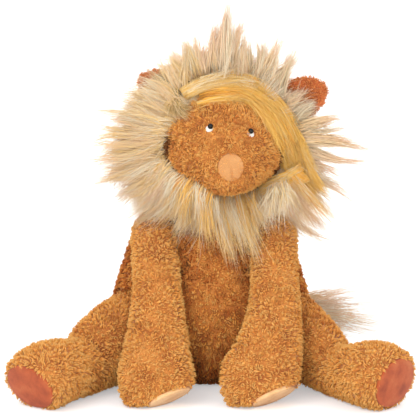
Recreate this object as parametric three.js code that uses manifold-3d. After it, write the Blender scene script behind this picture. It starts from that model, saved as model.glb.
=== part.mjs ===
// A sitting plush lion: sewn plush covers, their stuffing, and a long-pile mane and tail tuft.
// Millimetres. +Z is up, the lion looks along -Y, and the origin is on the floor under the middle
// of the whole lion. Places below are given from the point of the floor under its neck.
import * as THREE from 'three';
import { mergeVertices } from 'three/addons/utils/BufferGeometryUtils.js';
import Module from 'manifold-3d';

const wasm = await Module();
wasm.setup();
const { Manifold, Mesh: SolidMesh } = wasm;

// Driving sizes

const WALL = 2.4;            // plush fabric with its pile pressed flat
const GAP = 0.35;            // between pieces that touch
const JOINT_GAP = 0.35;      // round a sewn joint's ball
const STAND_OFF = 2;         // how far a coarse clearing form stands off its piece
const FLOOR_REACH = 600;     // how far the floor goes on under the lion

const TORSO = {
  height: 150, halfWidth: 83, halfDepth: 64, centreX: -2, centreY: 15, sides: 18, rings: 10,
  // height, width and depth, from the seat up, as shares of the three sizes above
  stationShares: [
    [0, 0.54, 0.54], [0.05, 0.8, 0.78], [0.2, 0.97, 0.97], [0.4, 1, 1], [0.58, 0.92, 0.9],
    [0.72, 0.84, 0.81], [0.82, 0.77, 0.74], [0.92, 0.66, 0.64], [1, 0.44, 0.5],
  ],
};
const PELLET_BAG = { height: 34, halfWidth: 48, halfDepth: 36, fullShare: 0.6, sides: 9, rings: 4 };

const NECK = { y: 3, z: 151, ball: 23, sides: 20 };
const NECK_TURN_DEGREES = 25;
const NECK_NOD_DEGREES = 8;

const HEAD = {
  x: 5.5, y: -15, z: 210, yawDegrees: 10, rollDegrees: 8,
  back: 56, muzzle: 61, halfWidth: 55, halfHeight: 48, sides: 20, rings: 10,
  // depth from the back to the muzzle, drop of the middle, width and height, as shares
  stationShares: [
    [0, 0, 0.16, 0.16], [0.05, 0, 0.5, 0.52], [0.17, 0, 0.82, 0.84], [0.36, 0, 1, 1],
    [0.57, 0, 0.98, 0.94], [0.74, 0.04, 0.86, 0.82], [0.86, 0.16, 0.68, 0.66],
    [0.95, 0.22, 0.47, 0.5], [1, 0.22, 0.3, 0.34],
  ],
};
const NOSE = { halfWidth: 10.8, halfHeight: 12, thickness: 2, drop: 10.5, sides: 20 };

const EYE = { apart: 34.6, shift: -3, rise: 21, bead: 2.5, shank: 0.9, sides: 8 };
const EYE_WHITE = { radius: 3.5, thickness: 0.9, drop: 1.5 };
const WASHER = { radius: 5, thickness: 1.2 };

const EAR = {
  length: 50, halfWidth: 18.5, back: 3.4, lining: 2.6, cup: 3.6, y: 4, steps: 7, sides: 10,
  widestShare: 0.5, rootCurveShare: 1.4, tipCurveShare: 1.96,
};
const EAR_SET = {
  left: { root: 39, liftDegrees: 27, leanDegrees: 30 },
  right: { root: 53, liftDegrees: 32, leanDegrees: 2 },
};

const HOOD = {
  front: 28, back: 78, halfWidth: 78, halfHeight: 70, sides: 18, rings: 7,
  // depth from the front rim to the back, width and height, as shares
  stationShares: [
    [0, 0.66, 0.62], [0.03, 0.78, 0.75], [0.13, 0.93, 0.91], [0.3, 1, 1], [0.52, 0.97, 0.97],
    [0.74, 0.82, 0.82], [0.9, 0.52, 0.52], [1, 0.14, 0.14],
  ],
};
const LOCK = { root: 17, waist: 11, tip: 0.8, sides: 4, rings: 3, depth: 32 };
// turn round the face in degrees from the lion's right ear, and reach from the middle of the face
const LOCK_REACH = 125;
const FACE_LOCK_SHARES = [
  [-41, 0.95], [-34, 1.1], [-20, 1.07], [-12, 0.94], [-4, 0.88], [3, 1.08], [16, 0.9], [26, 0.79],
  [54, 0.85], [62, 0.85], [71, 0.76], [80, 0.79], [89, 0.84], [95, 0.91], [108, 0.72], [116, 0.71],
  [128, 0.66], [165, 0.74], [177, 0.86], [187, 0.86], [196, 0.89], [205, 0.95], [218, 0.92],
  [231, 0.82],
];
const LOCK_LEAN = 9;         // how far behind the middle of the head the face locks end
// locks under the chin: turn and reach as above, and how far ahead of that middle they start and end
const CHIN_LOCKS = {
  rootAhead: 12, tipAhead: 50,
  shares: [
    [222, 0.72], [237, 0.6], [251, 0.51], [264, 0.66], [277, 0.5], [291, 0.47], [305, 0.52],
    [318, 0.66],
  ],
};
// rows over the back: tilt in degrees from the face's plane, and how many locks
const BACK_LOCK_ROWS = [{ tiltDegrees: 22, count: 6 }, { tiltDegrees: 48, count: 4 }];
const BACK_LOCKS = { reach: 38, droop: 20, rootShare: 0.75, fromDegrees: -32, toDegrees: 212 };

// Joints and routes are given as shares of the torso's height: x, y and z of a place, and for a
// route after that the half width and half thickness of the limb there
const PIVOT_SHARES = {
  arm_left: [-0.327, -0.093, 0.847], arm_right: [0.34, -0.093, 0.847],
  leg_left: [-0.413, -0.04, 0.273], leg_right: [0.4, -0.04, 0.267],
};
const ARM = {
  ball: 18.5, padThickness: 2, padShare: 0.86, seamShare: 0.4, sides: 12, rings: 8, liftDegrees: 40,
};
const ARM_ROUTE_SHARES = {
  left: [
    [-0.32, -0.293, 0.653, 0.117, 0.113], [-0.313, -0.44, 0.467, 0.137, 0.12],
    [-0.32, -0.593, 0.28, 0.177, 0.133], [-0.32, -0.707, 0.14, 0.207, 0.133],
    [-0.313, -0.747, 0.027, 0.17, 0.1],
  ],
  right: [
    [0.347, -0.293, 0.653, 0.117, 0.113], [0.347, -0.44, 0.467, 0.137, 0.12],
    [0.313, -0.593, 0.287, 0.18, 0.133], [0.26, -0.707, 0.147, 0.217, 0.14],
    [0.26, -0.747, 0.027, 0.173, 0.107],
  ],
};
const LEG = {
  ball: 36, padThickness: 2.2, padShare: 0.9, seamShare: 0.4, sides: 12, rings: 8, liftDegrees: 30,
};
const LEG_ROUTE_SHARES = {
  left: [
    [-0.607, -0.26, 0.233, 0.2, 0.207], [-0.733, -0.427, 0.16, 0.147, 0.147],
    [-0.86, -0.6, 0.18, 0.173, 0.163], [-0.953, -0.733, 0.173, 0.2, 0.173],
    [-1.02, -0.807, 0.137, 0.187, 0.15],
  ],
  right: [
    [0.573, -0.253, 0.213, 0.173, 0.187], [0.707, -0.44, 0.137, 0.13, 0.127],
    [0.827, -0.62, 0.167, 0.167, 0.16], [0.933, -0.76, 0.183, 0.193, 0.18],
    [1.013, -0.827, 0.163, 0.183, 0.16],
  ],
};
const TAIL = {
  ball: 9, core: 6, sides: 10, rings: 6, pivotShares: [0.093, 0.5, 0.227],
  routeShares: [[0.227, 0.62, 0.22], [0.36, 0.693, 0.213], [0.493, 0.727, 0.213]],
};
const TUFT = {
  sleeve: 12.5, root: 10, waist: 9.5, tip: 0.9, sides: 4, rings: 4, startShares: [0.413, 0.717, 0.213],
  // where each lock of the tuft ends
  tipShares: [
    [0.933, 0.747, 0.34], [0.787, 0.813, 0.347], [0.953, 0.72, 0.227], [1.033, 0.76, 0.127],
    [0.853, 0.84, 0.2], [0.88, 0.68, 0.08], [0.72, 0.72, 0.06],
  ],
};

const COLOURS = {
  plush: 0xc9782f, rust: 0xb9522a, suede: 0xc9653a, palePad: 0xefb274, felt: 0xeeab6e,
  mane: 0xe6bd80, tuft: 0xf0cba4, stuffing: 0xf4f2ec, pellets: 0xd8d4c8, bead: 0x14110f,
  white: 0xf7f5f0, washer: 0xe4e1d8,
};

// Shares and counts that every form uses

const ROUND_STEPS = 4;          // rings on the back of a ball
const FIRST_RING_SHARE = 0.3;   // where the first of them lies within a step
const SOCKET_SIDES = 20;        // round the ball sockets of the limbs
const WAD_SOCKET_SIDES = 10;    // and round those in the stuffing
const SPLINE_TENSION = 0.4;
const SEAM_DEPTH_SHARE = 0.8;   // how deep in a limb's ball its seam opening starts
const STEEP = 0.7;              // upward part of a direction that needs another reference

// Shapes and solids

const X = new THREE.Vector3(1, 0, 0);
const Z = new THREE.Vector3(0, 0, 1);
const LIFT_ARM = X.clone().negate();
const vec = ([x, y, z]) => new THREE.Vector3(x, y, z);
const fromShares = (shares) => shares.map((share) => share * TORSO.height);
const PIVOTS = Object.fromEntries(
  Object.entries(PIVOT_SHARES).map(([name, shares]) => [name, fromShares(shares)]));
const referenceFor = (direction) => (Math.abs(direction.z) > STEEP ? X : Z);
const radians = THREE.MathUtils.degToRad;

// Rings of points joined by a skin, with a flat fan over each end
function skin(rings) {
  const sides = rings[0].length;
  const points = rings.flat();
  const index = [];
  for (let r = 0; r + 1 < rings.length; r += 1) {
    for (let s = 0; s < sides; s += 1) {
      const a = r * sides + s;
      const b = r * sides + (s + 1) % sides;
      index.push(a, b, b + sides, a, b + sides, a + sides);
    }
  }
  for (const [start, flip] of [[0, true], [points.length - sides, false]]) {
    const middle = new THREE.Vector3();
    for (let s = 0; s < sides; s += 1) middle.addScaledVector(points[start + s], 1 / sides);
    points.push(middle);
    for (let s = 0; s < sides; s += 1) {
      const a = start + s;
      const b = start + (s + 1) % sides;
      index.push(points.length - 1, flip ? b : a, flip ? a : b);
    }
  }
  const geometry = new THREE.BufferGeometry().setFromPoints(points);
  geometry.setIndex(index);
  return geometry;
}

// A closed geometry as a solid, turned the right way out
function solidOf(geometry) {
  const bare = geometry.clone();
  bare.deleteAttribute('normal');
  bare.deleteAttribute('uv');
  const merged = mergeVertices(bare);
  const vertProperties = new Float32Array(merged.attributes.position.array);
  const triVerts = new Uint32Array(merged.index.array);
  const solid = new Manifold(new SolidMesh({ numProp: 3, vertProperties, triVerts }));
  if (solid.volume() >= 0) return solid;
  for (let t = 0; t < triVerts.length; t += 3) {
    [triVerts[t + 1], triVerts[t + 2]] = [triVerts[t + 2], triVerts[t + 1]];
  }
  return new Manifold(new SolidMesh({ numProp: 3, vertProperties, triVerts }));
}

function geometryOf(solid) {
  const mesh = solid.getMesh();
  const geometry = new THREE.BufferGeometry();
  geometry.setAttribute('position', new THREE.BufferAttribute(new Float32Array(mesh.vertProperties), 3));
  geometry.setIndex(new THREE.BufferAttribute(new Uint32Array(mesh.triVerts), 1));
  geometry.computeVertexNormals();
  return geometry;
}

// A solid after a three.js matrix
const placed = (solid, matrix) => solid.transform(matrix.elements);

// Everything in a list of solids, cut from one solid
const cut = (solid, cutters) => cutters.reduce((left, cutter) => left.subtract(cutter), solid);

// The largest body of a solid, without crumbs that a cut leaves
function main(solid) {
  const bodies = solid.decompose();
  return bodies.reduce((best, body) => (body.volume() > best.volume() ? body : best));
}

// Stations are { at, side, rise }. More of them along smooth curves through the given ones
function resample(stations, count) {
  const places = new THREE.CatmullRomCurve3(stations.map(({ at }) => at), false, 'centripetal');
  const sizePoints = stations.map(({ side, rise }, i) => new THREE.Vector3(side, rise, i));
  const sizes = new THREE.CatmullRomCurve3(sizePoints, false, 'catmullrom', SPLINE_TENSION);
  return Array.from({ length: count + 1 }, (_, i) => {
    const size = sizes.getPoint(i / count);
    return { at: places.getPoint(i / count), side: size.x, rise: size.y };
  });
}

// A swelling, tapering form along its stations, grown or shrunk square to its surface by `grow`
function form(stations, across, sides, grow = 0) {
  const last = stations.length - 1;
  const rings = stations.map(({ at, side, rise }, i) => {
    const before = stations[Math.max(i - 1, 0)];
    const after = stations[Math.min(i + 1, last)];
    const along = after.at.clone().sub(before.at);
    const sideSlope = (after.side - before.side) / along.length();
    const riseSlope = (after.rise - before.rise) / along.length();
    const sideGrow = grow / Math.hypot(1, sideSlope);
    const riseGrow = grow / Math.hypot(1, riseSlope);
    const ends = { 0: -grow, [last]: grow };
    const shift = ends[i] ?? -(sideSlope * sideGrow + riseSlope * riseGrow) / 2;
    along.normalize();
    const u = across.clone().addScaledVector(along, -across.dot(along)).normalize();
    const v = new THREE.Vector3().crossVectors(along, u);
    const centre = at.clone().addScaledVector(along, shift);
    return Array.from({ length: sides }, (_, s) => {
      const turn = 2 * Math.PI * s / sides;
      return centre.clone()
        .addScaledVector(u, (side + sideGrow) * Math.cos(turn))
        .addScaledVector(v, (rise + riseGrow) * Math.sin(turn));
    });
  });
  return solidOf(skin(rings));
}

// The stations of a limb: the back of its ball round the pivot, then its route
function limbStations(pivot, ball, route, rings) {
  const at = vec(pivot);
  const stations = route.map(([x, y, z, side, rise]) => ({ at: vec([x, y, z]), side, rise }));
  const towards = stations[0].at.clone().sub(at).normalize();
  const behind = Array.from({ length: ROUND_STEPS }, (_, i) => {
    const turn = Math.PI / 2 * (i + FIRST_RING_SHARE) / ROUND_STEPS;
    return {
      at: at.clone().addScaledVector(towards, -ball * Math.cos(turn)),
      side: ball * Math.sin(turn), rise: ball * Math.sin(turn),
    };
  });
  return [...behind, ...resample([{ at, side: ball, rise: ball }, ...stations], rings)];
}

// Every nth station, with the last one
const every = (stations, n) => stations.filter((_, i) => i % n === 0 || i === stations.length - 1);

// A coarse form with half the sides that encloses the fine one
function clearing(stations, across, sides) {
  const count = sides / 2;
  const wider = every(stations, 2).map(({ at, side, rise }) => (
    { at, side: roundUp(side, count), rise: roundUp(rise, count) }));
  return form(wider, across, count, STAND_OFF);
}

// The corner radius of a polygon whose sides touch a circle
const roundUp = (radius, sides) => radius / Math.cos(Math.PI / sides);

// A ball as a turned solid
function ballAt(pivot, radius, sides, rings) {
  const solid = solidOf(new THREE.SphereGeometry(radius, sides, rings).rotateX(Math.PI / 2));
  return placed(solid, new THREE.Matrix4().makeTranslation(...pivot));
}

// A faceted ball that encloses the true one
const ballRoom = (pivot, radius, sides) => (
  ballAt(pivot, roundUp(roundUp(radius, sides), sides), sides, sides / 2));

// The matrix of a turn in degrees about an axis through a pivot
function turned(pivot, axis, degrees) {
  const there = new THREE.Matrix4().makeTranslation(...pivot);
  const back = there.clone().invert();
  return there.multiply(new THREE.Matrix4().makeRotationAxis(axis, radians(degrees))).multiply(back);
}

// A solid halfway along its joint's travel and at the end of it
function sweep(solid, pivot, axis, range) {
  return [range / 2, range].map((degrees) => placed(solid, turned(pivot, axis, degrees)));
}

// The model, one group per moving body

const lion = new THREE.Group();

function addPiece(group, name, solid, colour, roughness = 1) {
  const inGroup = placed(solid, groupMatrix(group).invert());
  const material = new THREE.MeshStandardMaterial({ color: colour, roughness, metalness: 0 });
  const mesh = new THREE.Mesh(geometryOf(inGroup), material);
  mesh.name = name;
  group.add(mesh);
}

function groupMatrix(group) {
  group.updateWorldMatrix(true, false);
  return group.matrixWorld.clone();
}

function bodyGroup(pivot) {
  const group = new THREE.Group();
  group.position.set(...pivot);
  lion.add(group);
  return group;
}

// Torso

const torsoStations = resample(TORSO.stationShares.map(([height, width, depth]) => ({
  at: new THREE.Vector3(TORSO.centreX, TORSO.centreY, TORSO.height * height),
  side: TORSO.halfWidth * width, rise: TORSO.halfDepth * depth,
})), TORSO.rings);
const torsoForm = (grow) => form(torsoStations, X, TORSO.sides, grow);
const roughTorso = () => clearing(torsoStations, X, TORSO.sides);
const neckPivot = [0, NECK.y, NECK.z];
const neckBall = () => ballAt(neckPivot, NECK.ball, NECK.sides, NECK.sides / 2);
const neckRoom = (grow) => ballRoom(neckPivot, NECK.ball + grow, NECK.sides);

// Limbs, before anything is cut

const sideNames = ['left', 'right'];

// A leg lifts about a level axis square to the line from its pivot to its calf
function legAxis(name) {
  const calf = vec(fromShares(LEG_ROUTE_SHARES[name][1]));
  return calf.sub(vec(PIVOTS[`leg_${name}`])).setZ(0).normalize().cross(Z);
}

function limb(kind, name, sizes, routes, across, axis) {
  const pivot = PIVOTS[`${kind}_${name}`];
  const stations = limbStations(pivot, sizes.ball, routes[name].map(fromShares), sizes.rings);
  const shape = (grow) => form(stations, across, sizes.sides, grow);
  const rough = clearing(stations, across, sizes.sides);
  const close = form(every(stations, 2), across, sizes.sides, STAND_OFF);
  const inSocket = ballAt(pivot, sizes.ball + GAP, SOCKET_SIDES, SOCKET_SIDES / 2);
  const socket = (grow, count) => ballRoom(pivot, sizes.ball + grow, count);
  return {
    key: `${kind}_${name}`, name, pivot, sizes, stations, across, axis, shape, rough, close, inSocket, socket,
  };
}

const arms = sideNames.map((name) => limb('arm', name, ARM, ARM_ROUTE_SHARES, X, LIFT_ARM));
const legs = sideNames.map((name) => (
  limb('leg', name, LEG, LEG_ROUTE_SHARES, legAxis(name), legAxis(name))));
const limbs = [...arms, ...legs];

const tailPivot = fromShares(TAIL.pivotShares);
const tailRoute = TAIL.routeShares.map((shares) => [...fromShares(shares), TAIL.core, TAIL.core]);
const tailStations = limbStations(tailPivot, TAIL.ball, tailRoute, TAIL.rings);
const tailForm = (grow) => form(tailStations, Z, TAIL.sides, grow);
const tailBall = (radius) => ballAt(tailPivot, radius, TAIL.sides, TAIL.sides / 2);
const tailSocket = (grow) => ballRoom(tailPivot, TAIL.ball + grow, TAIL.sides);

// What the torso makes room for: the balls, and the thighs as they rise into the belly, with
// each thigh's close or rough clearing form
function torsoRoom(grow, clearance, count) {
  return [
    neckRoom(grow), tailSocket(grow), ...limbs.map(({ socket }) => socket(grow, count)),
    ...legs.flatMap((leg) => sweep(leg[clearance], leg.pivot, leg.axis, leg.sizes.liftDegrees)),
  ];
}

function buildTorso() {
  const group = bodyGroup([0, 0, 0]);
  const room = torsoRoom(JOINT_GAP, 'close', SOCKET_SIDES);
  const cover = torsoForm(0).subtract(torsoForm(-WALL));
  addPiece(group, 'torso_cover', main(cut(cover, room)), COLOURS.plush);

  const inner = form(every(torsoStations, 2), X, TORSO.sides / 2, -WALL - GAP);
  addPiece(group, 'torso_pellet_bag', main(cut(pelletBag(WALL + GAP, 0).intersect(inner), room)),
    COLOURS.pellets);
  const wadRoom = [...torsoRoom(JOINT_GAP + GAP, 'rough', WAD_SOCKET_SIDES), pelletBag(0, GAP)];
  addPiece(group, 'torso_stuffing', main(cut(inner, wadRoom)), COLOURS.stuffing);
}

// The bag of pellets that weights the seat: a low dome standing on a level
function pelletBag(base, grow) {
  const stations = Array.from({ length: PELLET_BAG.rings + 1 }, (_, i) => {
    const turn = Math.PI / 2 * i / (PELLET_BAG.rings + PELLET_BAG.fullShare);
    const width = Math.cos(turn) ** PELLET_BAG.fullShare;
    return {
      at: new THREE.Vector3(TORSO.centreX, TORSO.centreY, WALL + GAP + PELLET_BAG.height * Math.sin(turn)),
      side: PELLET_BAG.halfWidth * width, rise: PELLET_BAG.halfDepth * width,
    };
  });
  stations[0].at.z = base;
  return form(stations, X, PELLET_BAG.sides, grow);
}

// Limbs

// What a limb gives way to: the torso, except where the limb's ball sits in it
const besideTorso = (inSocket) => torsoForm(GAP).subtract(inSocket);

function endPad(stations, across, share, thickness, sides) {
  const end = stations.at(-1);
  const along = end.at.clone().sub(stations.at(-2).at).normalize();
  const rim = (offset) => ({
    at: end.at.clone().addScaledVector(along, offset), side: end.side * share, rise: end.rise * share,
  });
  return form([rim(GAP), rim(GAP + thickness)], across, sides);
}

const floor = placed(solidOf(new THREE.BoxGeometry(FLOOR_REACH, FLOOR_REACH, TORSO.height)),
  new THREE.Matrix4().makeTranslation(0, 0, -TORSO.height / 2));

function buildLimb({ key, stations, across, pivot, sizes, shape, inSocket }, pad, padColour) {
  const group = bodyGroup(pivot);
  const beside = besideTorso(inSocket);
  const opening = seamOpening(pivot, stations, sizes);
  const cover = cut(shape(0), [shape(-WALL), beside, floor, opening]);
  const inner = form(stations, across, sizes.sides / 2, -WALL - GAP);
  const wad = cut(inner, [beside, opening]);
  addPiece(group, `${key}_cover`, main(cover), COLOURS.plush);
  addPiece(group, `${key}_stuffing`, main(wad), COLOURS.stuffing);
  const disc = endPad(stations, across, sizes.padShare, sizes.padThickness, sizes.sides);
  addPiece(group, pad, main(disc.subtract(floor)), padColour);
}

// The seam that joins a limb's cover to the torso: a round opening at the back of the ball
function seamOpening(pivot, stations, { ball, seamShare, sides }) {
  const away = stations[0].at.clone().sub(vec(pivot)).normalize();
  const rim = (distance) => ({
    at: vec(pivot).addScaledVector(away, distance), side: ball * seamShare, rise: ball * seamShare,
  });
  const across = new THREE.Vector3().crossVectors(away, referenceFor(away)).normalize();
  return form([rim(ball * SEAM_DEPTH_SHARE), rim(ball + WALL)], across, sides);
}

// Tail

// A pointed lock of hair: wide at its root, a waist halfway, and a fine tip
function lockFrom(start, tip, sizes) {
  const middle = start.clone().add(tip).divideScalar(2);
  const route = [
    { at: start, side: sizes.root, rise: sizes.root },
    { at: middle, side: sizes.waist, rise: sizes.waist },
    { at: tip, side: sizes.tip, rise: sizes.tip },
  ];
  const across = referenceFor(tip.clone().sub(start).normalize());
  return form(resample(route, sizes.rings), across, sizes.sides);
}

function buildTail() {
  const group = bodyGroup(tailPivot);
  const cover = tailForm(0).subtract(besideTorso(tailBall(TAIL.ball + GAP)));
  addPiece(group, 'tail_core', main(cover), COLOURS.plush);
  const start = fromShares(TUFT.startShares);
  const locks = TUFT.tipShares.map((shares) => lockFrom(vec(start), vec(fromShares(shares)), TUFT));
  const sleeve = ballAt(start, TUFT.sleeve, TUFT.sides * 2, TUFT.rings);
  const tuft = locks.reduce((sum, lock) => sum.add(lock), sleeve);
  addPiece(group, 'tail_tuft', main(cut(tuft, [tailForm(GAP), floor])), COLOURS.tuft);
}

// Head

const headMatrix = new THREE.Matrix4()
  .makeTranslation(HEAD.x, HEAD.y, HEAD.z)
  .multiply(new THREE.Matrix4().makeRotationZ(radians(HEAD.yawDegrees)))
  .multiply(new THREE.Matrix4().makeRotationY(radians(HEAD.rollDegrees)));

const headStations = resample(HEAD.stationShares.map(([depth, drop, width, height]) => ({
  at: new THREE.Vector3(0, HEAD.back - (HEAD.back + HEAD.muzzle) * depth, -HEAD.halfHeight * drop),
  side: HEAD.halfWidth * width, rise: HEAD.halfHeight * height,
})), HEAD.rings);
const headForm = (grow) => form(headStations, X, HEAD.sides, grow);
const inHead = (solid) => placed(solid, headMatrix);

// A round bar along Y in the head's frame
function bar(x, z, radius, from, to, sides) {
  const stations = [from, to].map((y) => ({ at: new THREE.Vector3(x, y, z), side: radius, rise: radius }));
  return form(stations, X, sides);
}

// How far forward the head's surface lies at a place on the face
function faceDepth(x, z) {
  const needle = bar(x, z, WALL / 10, 0, -HEAD.muzzle - WALL, EYE.sides);
  const box = needle.intersect(headForm(0)).boundingBox();
  return -box.min[1];
}

// The least of those depths round a disc on the face
const shallowest = (x, z, radius) => Math.min(...[-1, 0, 1].flatMap((across) => (
  [-1, 0, 1].map((up) => faceDepth(x + across * radius, z + up * radius)))));

function buildEyes(group) {
  const holes = [];
  const washerRooms = [];
  for (const [name, side] of [['left', -1], ['right', 1]]) {
    const x = EYE.shift + side * EYE.apart / 2;
    const z = EYE.rise;
    const depth = faceDepth(x, z);
    const whiteZ = z - EYE_WHITE.drop;
    const whiteFront = faceDepth(x, whiteZ) + GAP + EYE_WHITE.thickness;
    const washerFront = shallowest(x, z, WASHER.radius) - WALL - GAP;
    const back = washerFront - WASHER.thickness - EYE.bead;
    const beadFront = whiteFront + GAP;
    const ball = ballAt([x, -beadFront, z], EYE.bead, EYE.sides, EYE.sides);
    const behind = bar(x, z, EYE.bead * 2, -beadFront, HEAD.back, EYE.sides);
    const shank = bar(x, z, EYE.shank, -beadFront - EYE.bead / 2, -back, EYE.sides);
    const shankRoom = bar(x, z, EYE.shank + GAP, -whiteFront - EYE.bead, -back + GAP, EYE.sides);
    const bead = ball.subtract(behind).add(shank);
    const white = bar(x, whiteZ, EYE_WHITE.radius, -whiteFront, -depth + WALL / 2, EYE.sides * 2)
      .subtract(headForm(GAP)).subtract(shankRoom);
    const washer = bar(x, z, WASHER.radius, -washerFront, -washerFront + WASHER.thickness, EYE.sides * 2)
      .subtract(shankRoom);
    addPiece(group, `eye_bead_${name}`, inHead(main(bead)), COLOURS.bead, 0.1);
    addPiece(group, `eye_white_${name}`, inHead(main(white)), COLOURS.white, 0.9);
    addPiece(group, `eye_washer_${name}`, inHead(main(washer)), COLOURS.washer, 0.4);
    holes.push(shankRoom);
    const washerRoom = roundUp(WASHER.radius + GAP, EYE.sides);
    washerRooms.push(bar(x, z, washerRoom, -depth, -washerFront + WASHER.thickness + GAP, EYE.sides));
  }
  return { holes, washerRooms };
}

// One layer of an ear, round at its far end and cupped towards the front
function earStations(root, thickness, offset) {
  return Array.from({ length: EAR.steps + 1 }, (_, i) => {
    const along = i / EAR.steps;
    const curve = along < EAR.widestShare ? EAR.rootCurveShare : EAR.tipCurveShare;
    const fromWidest = (along - EAR.widestShare) * curve;
    return {
      at: new THREE.Vector3(root + EAR.length * along, offset + EAR.cup * Math.sin(Math.PI * along), 0),
      side: EAR.halfWidth * Math.sqrt(1 - fromWidest ** 2), rise: thickness / 2,
    };
  });
}

function earMatrix({ liftDegrees, leanDegrees }, side) {
  return new THREE.Matrix4()
    .makeTranslation(0, EAR.y, 0)
    .multiply(new THREE.Matrix4().makeRotationZ(radians(side * leanDegrees)))
    .multiply(new THREE.Matrix4().makeRotationY(radians(side < 0 ? liftDegrees - 180 : -liftDegrees)));
}

function buildEars(group) {
  const room = [];
  const headRoom = headForm(GAP);
  const backOffset = (EAR.back + GAP) / 2;
  const liningOffset = -(EAR.lining + GAP) / 2;
  for (const [name, side] of [['left', -1], ['right', 1]]) {
    const set = EAR_SET[name];
    const layer = (thickness, offset, grow) => placed(
      form(earStations(set.root, thickness, offset), Z, EAR.sides, grow), earMatrix(set, side));
    const back = layer(EAR.back, backOffset, 0);
    const lining = layer(EAR.lining, liningOffset, 0);
    addPiece(group, `ear_back_${name}`, inHead(main(back.subtract(headRoom))), COLOURS.plush);
    addPiece(group, `ear_lining_${name}`, inHead(main(lining.subtract(headRoom))), COLOURS.rust);
    room.push(layer(EAR.back, backOffset, GAP * 2), layer(EAR.lining, liningOffset, GAP * 2));
  }
  return room;
}

// Mane: a hood round the face and over the back of the head, with pointed locks

function faceLocks() {
  return FACE_LOCK_SHARES.map(([degrees, share]) => {
    const turn = radians(degrees);
    const out = new THREE.Vector3(Math.cos(turn), 0, Math.sin(turn));
    const start = out.clone().multiplyScalar(HOOD.halfHeight - LOCK.depth);
    const tip = out.clone().multiplyScalar(LOCK_REACH * share);
    tip.y = LOCK_LEAN;
    return lockFrom(start, tip, LOCK);
  });
}

function chinLocks() {
  return CHIN_LOCKS.shares.map(([degrees, share]) => {
    const turn = radians(degrees);
    const out = new THREE.Vector3(Math.cos(turn), 0, Math.sin(turn));
    const start = out.clone().multiplyScalar(HOOD.halfHeight - LOCK.depth);
    start.y = -CHIN_LOCKS.rootAhead;
    const tip = out.clone().multiplyScalar(LOCK_REACH * share);
    tip.y = -CHIN_LOCKS.tipAhead;
    return lockFrom(start, tip, LOCK);
  });
}

function backLocks() {
  const { reach, droop, rootShare, fromDegrees, toDegrees } = BACK_LOCKS;
  return BACK_LOCK_ROWS.flatMap(({ tiltDegrees, count }) => Array.from({ length: count }, (_, i) => {
    const turn = radians(fromDegrees + (toDegrees - fromDegrees) * i / (count - 1));
    const tilt = radians(tiltDegrees);
    const out = new THREE.Vector3(
      Math.cos(turn) * Math.cos(tilt) * HOOD.halfWidth,
      Math.sin(tilt) * HOOD.back,
      Math.sin(turn) * Math.cos(tilt) * HOOD.halfHeight);
    const start = out.clone().multiplyScalar(rootShare);
    const tip = out.clone().addScaledVector(out.clone().normalize(), reach);
    tip.z -= droop;
    return lockFrom(start, tip, LOCK);
  }));
}

// Everything below the head, wherever the arms are, seen from each end of the head's travel
function belowHead() {
  const anyLift = arms.flatMap(({ rough, pivot, axis, sizes }) => [
    rough, ...sweep(rough, pivot, axis, sizes.liftDegrees)]);
  return anyLift.reduce((sum, solid) => sum.add(solid), roughTorso());
}

function headTravel(solid) {
  const poses = [];
  for (const share of [-1, -0.5, 0, 0.5, 1]) {
    const turn = share * NECK_TURN_DEGREES;
    for (const nod of [-NECK_NOD_DEGREES, NECK_NOD_DEGREES]) {
      poses.push(placed(placed(solid, turned(neckPivot, Z, turn)), turned(neckPivot, X, nod)));
    }
  }
  return poses;
}

function buildMane(group, earRoom) {
  const stations = resample(HOOD.stationShares.map(([depth, width, height]) => ({
    at: new THREE.Vector3(0, -HOOD.front + (HOOD.front + HOOD.back) * depth, 0),
    side: HOOD.halfWidth * width, rise: HOOD.halfHeight * height,
  })), HOOD.rings);
  const hood = form(stations, X, HOOD.sides);
  const hair = [...faceLocks(), ...chinLocks(), ...backLocks()].reduce((sum, lock) => sum.add(lock), hood);
  const mane = inHead(cut(hair, [headForm(GAP), ...earRoom]));
  const below = [neckRoom(JOINT_GAP), ...headTravel(belowHead())];
  addPiece(group, 'mane', main(cut(mane, below)), COLOURS.mane);
}

function buildHead() {
  const group = bodyGroup(neckPivot);
  const { holes, washerRooms } = buildEyes(group);
  const cover = cut(headForm(0), [headForm(-WALL), ...holes]);
  addPiece(group, 'head_cover', main(inHead(cover).subtract(neckRoom(JOINT_GAP))), COLOURS.plush);
  const wad = cut(headForm(-WALL - GAP), [...holes, ...washerRooms]);
  addPiece(group, 'head_stuffing', main(inHead(wad).subtract(neckRoom(JOINT_GAP + GAP))), COLOURS.stuffing);
  const noseBack = HEAD.muzzle + GAP;
  const noseStations = [noseBack, noseBack + NOSE.thickness].map((depth) => ({
    at: new THREE.Vector3(0, -depth, -NOSE.drop), side: NOSE.halfWidth, rise: NOSE.halfHeight,
  }));
  const nose = form(noseStations, X, NOSE.sides).subtract(headForm(GAP));
  addPiece(group, 'nose', inHead(nose), COLOURS.felt, 0.95);
  buildMane(group, buildEars(group));
}

function buildNeck() {
  addPiece(bodyGroup(neckPivot), 'neck_stuffing', neckBall(), COLOURS.stuffing);
}

// The whole lion, moved so that the origin is under its middle

buildTorso();
for (const part of arms) buildLimb(part, `paw_pad_${part.name}`, COLOURS.palePad);
for (const part of legs) buildLimb(part, `sole_pad_${part.name}`, COLOURS.suede);
buildTail();
buildNeck();
buildHead();

const middle = new THREE.Box3().setFromObject(lion).getCenter(new THREE.Vector3());
lion.position.set(-middle.x, -middle.y, 0);

export default lion;
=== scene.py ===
import math

import bpy
import numpy as np
from mathutils import Matrix, Vector
from mathutils.bvhtree import BVHTree
from mathutils.kdtree import KDTree


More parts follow.
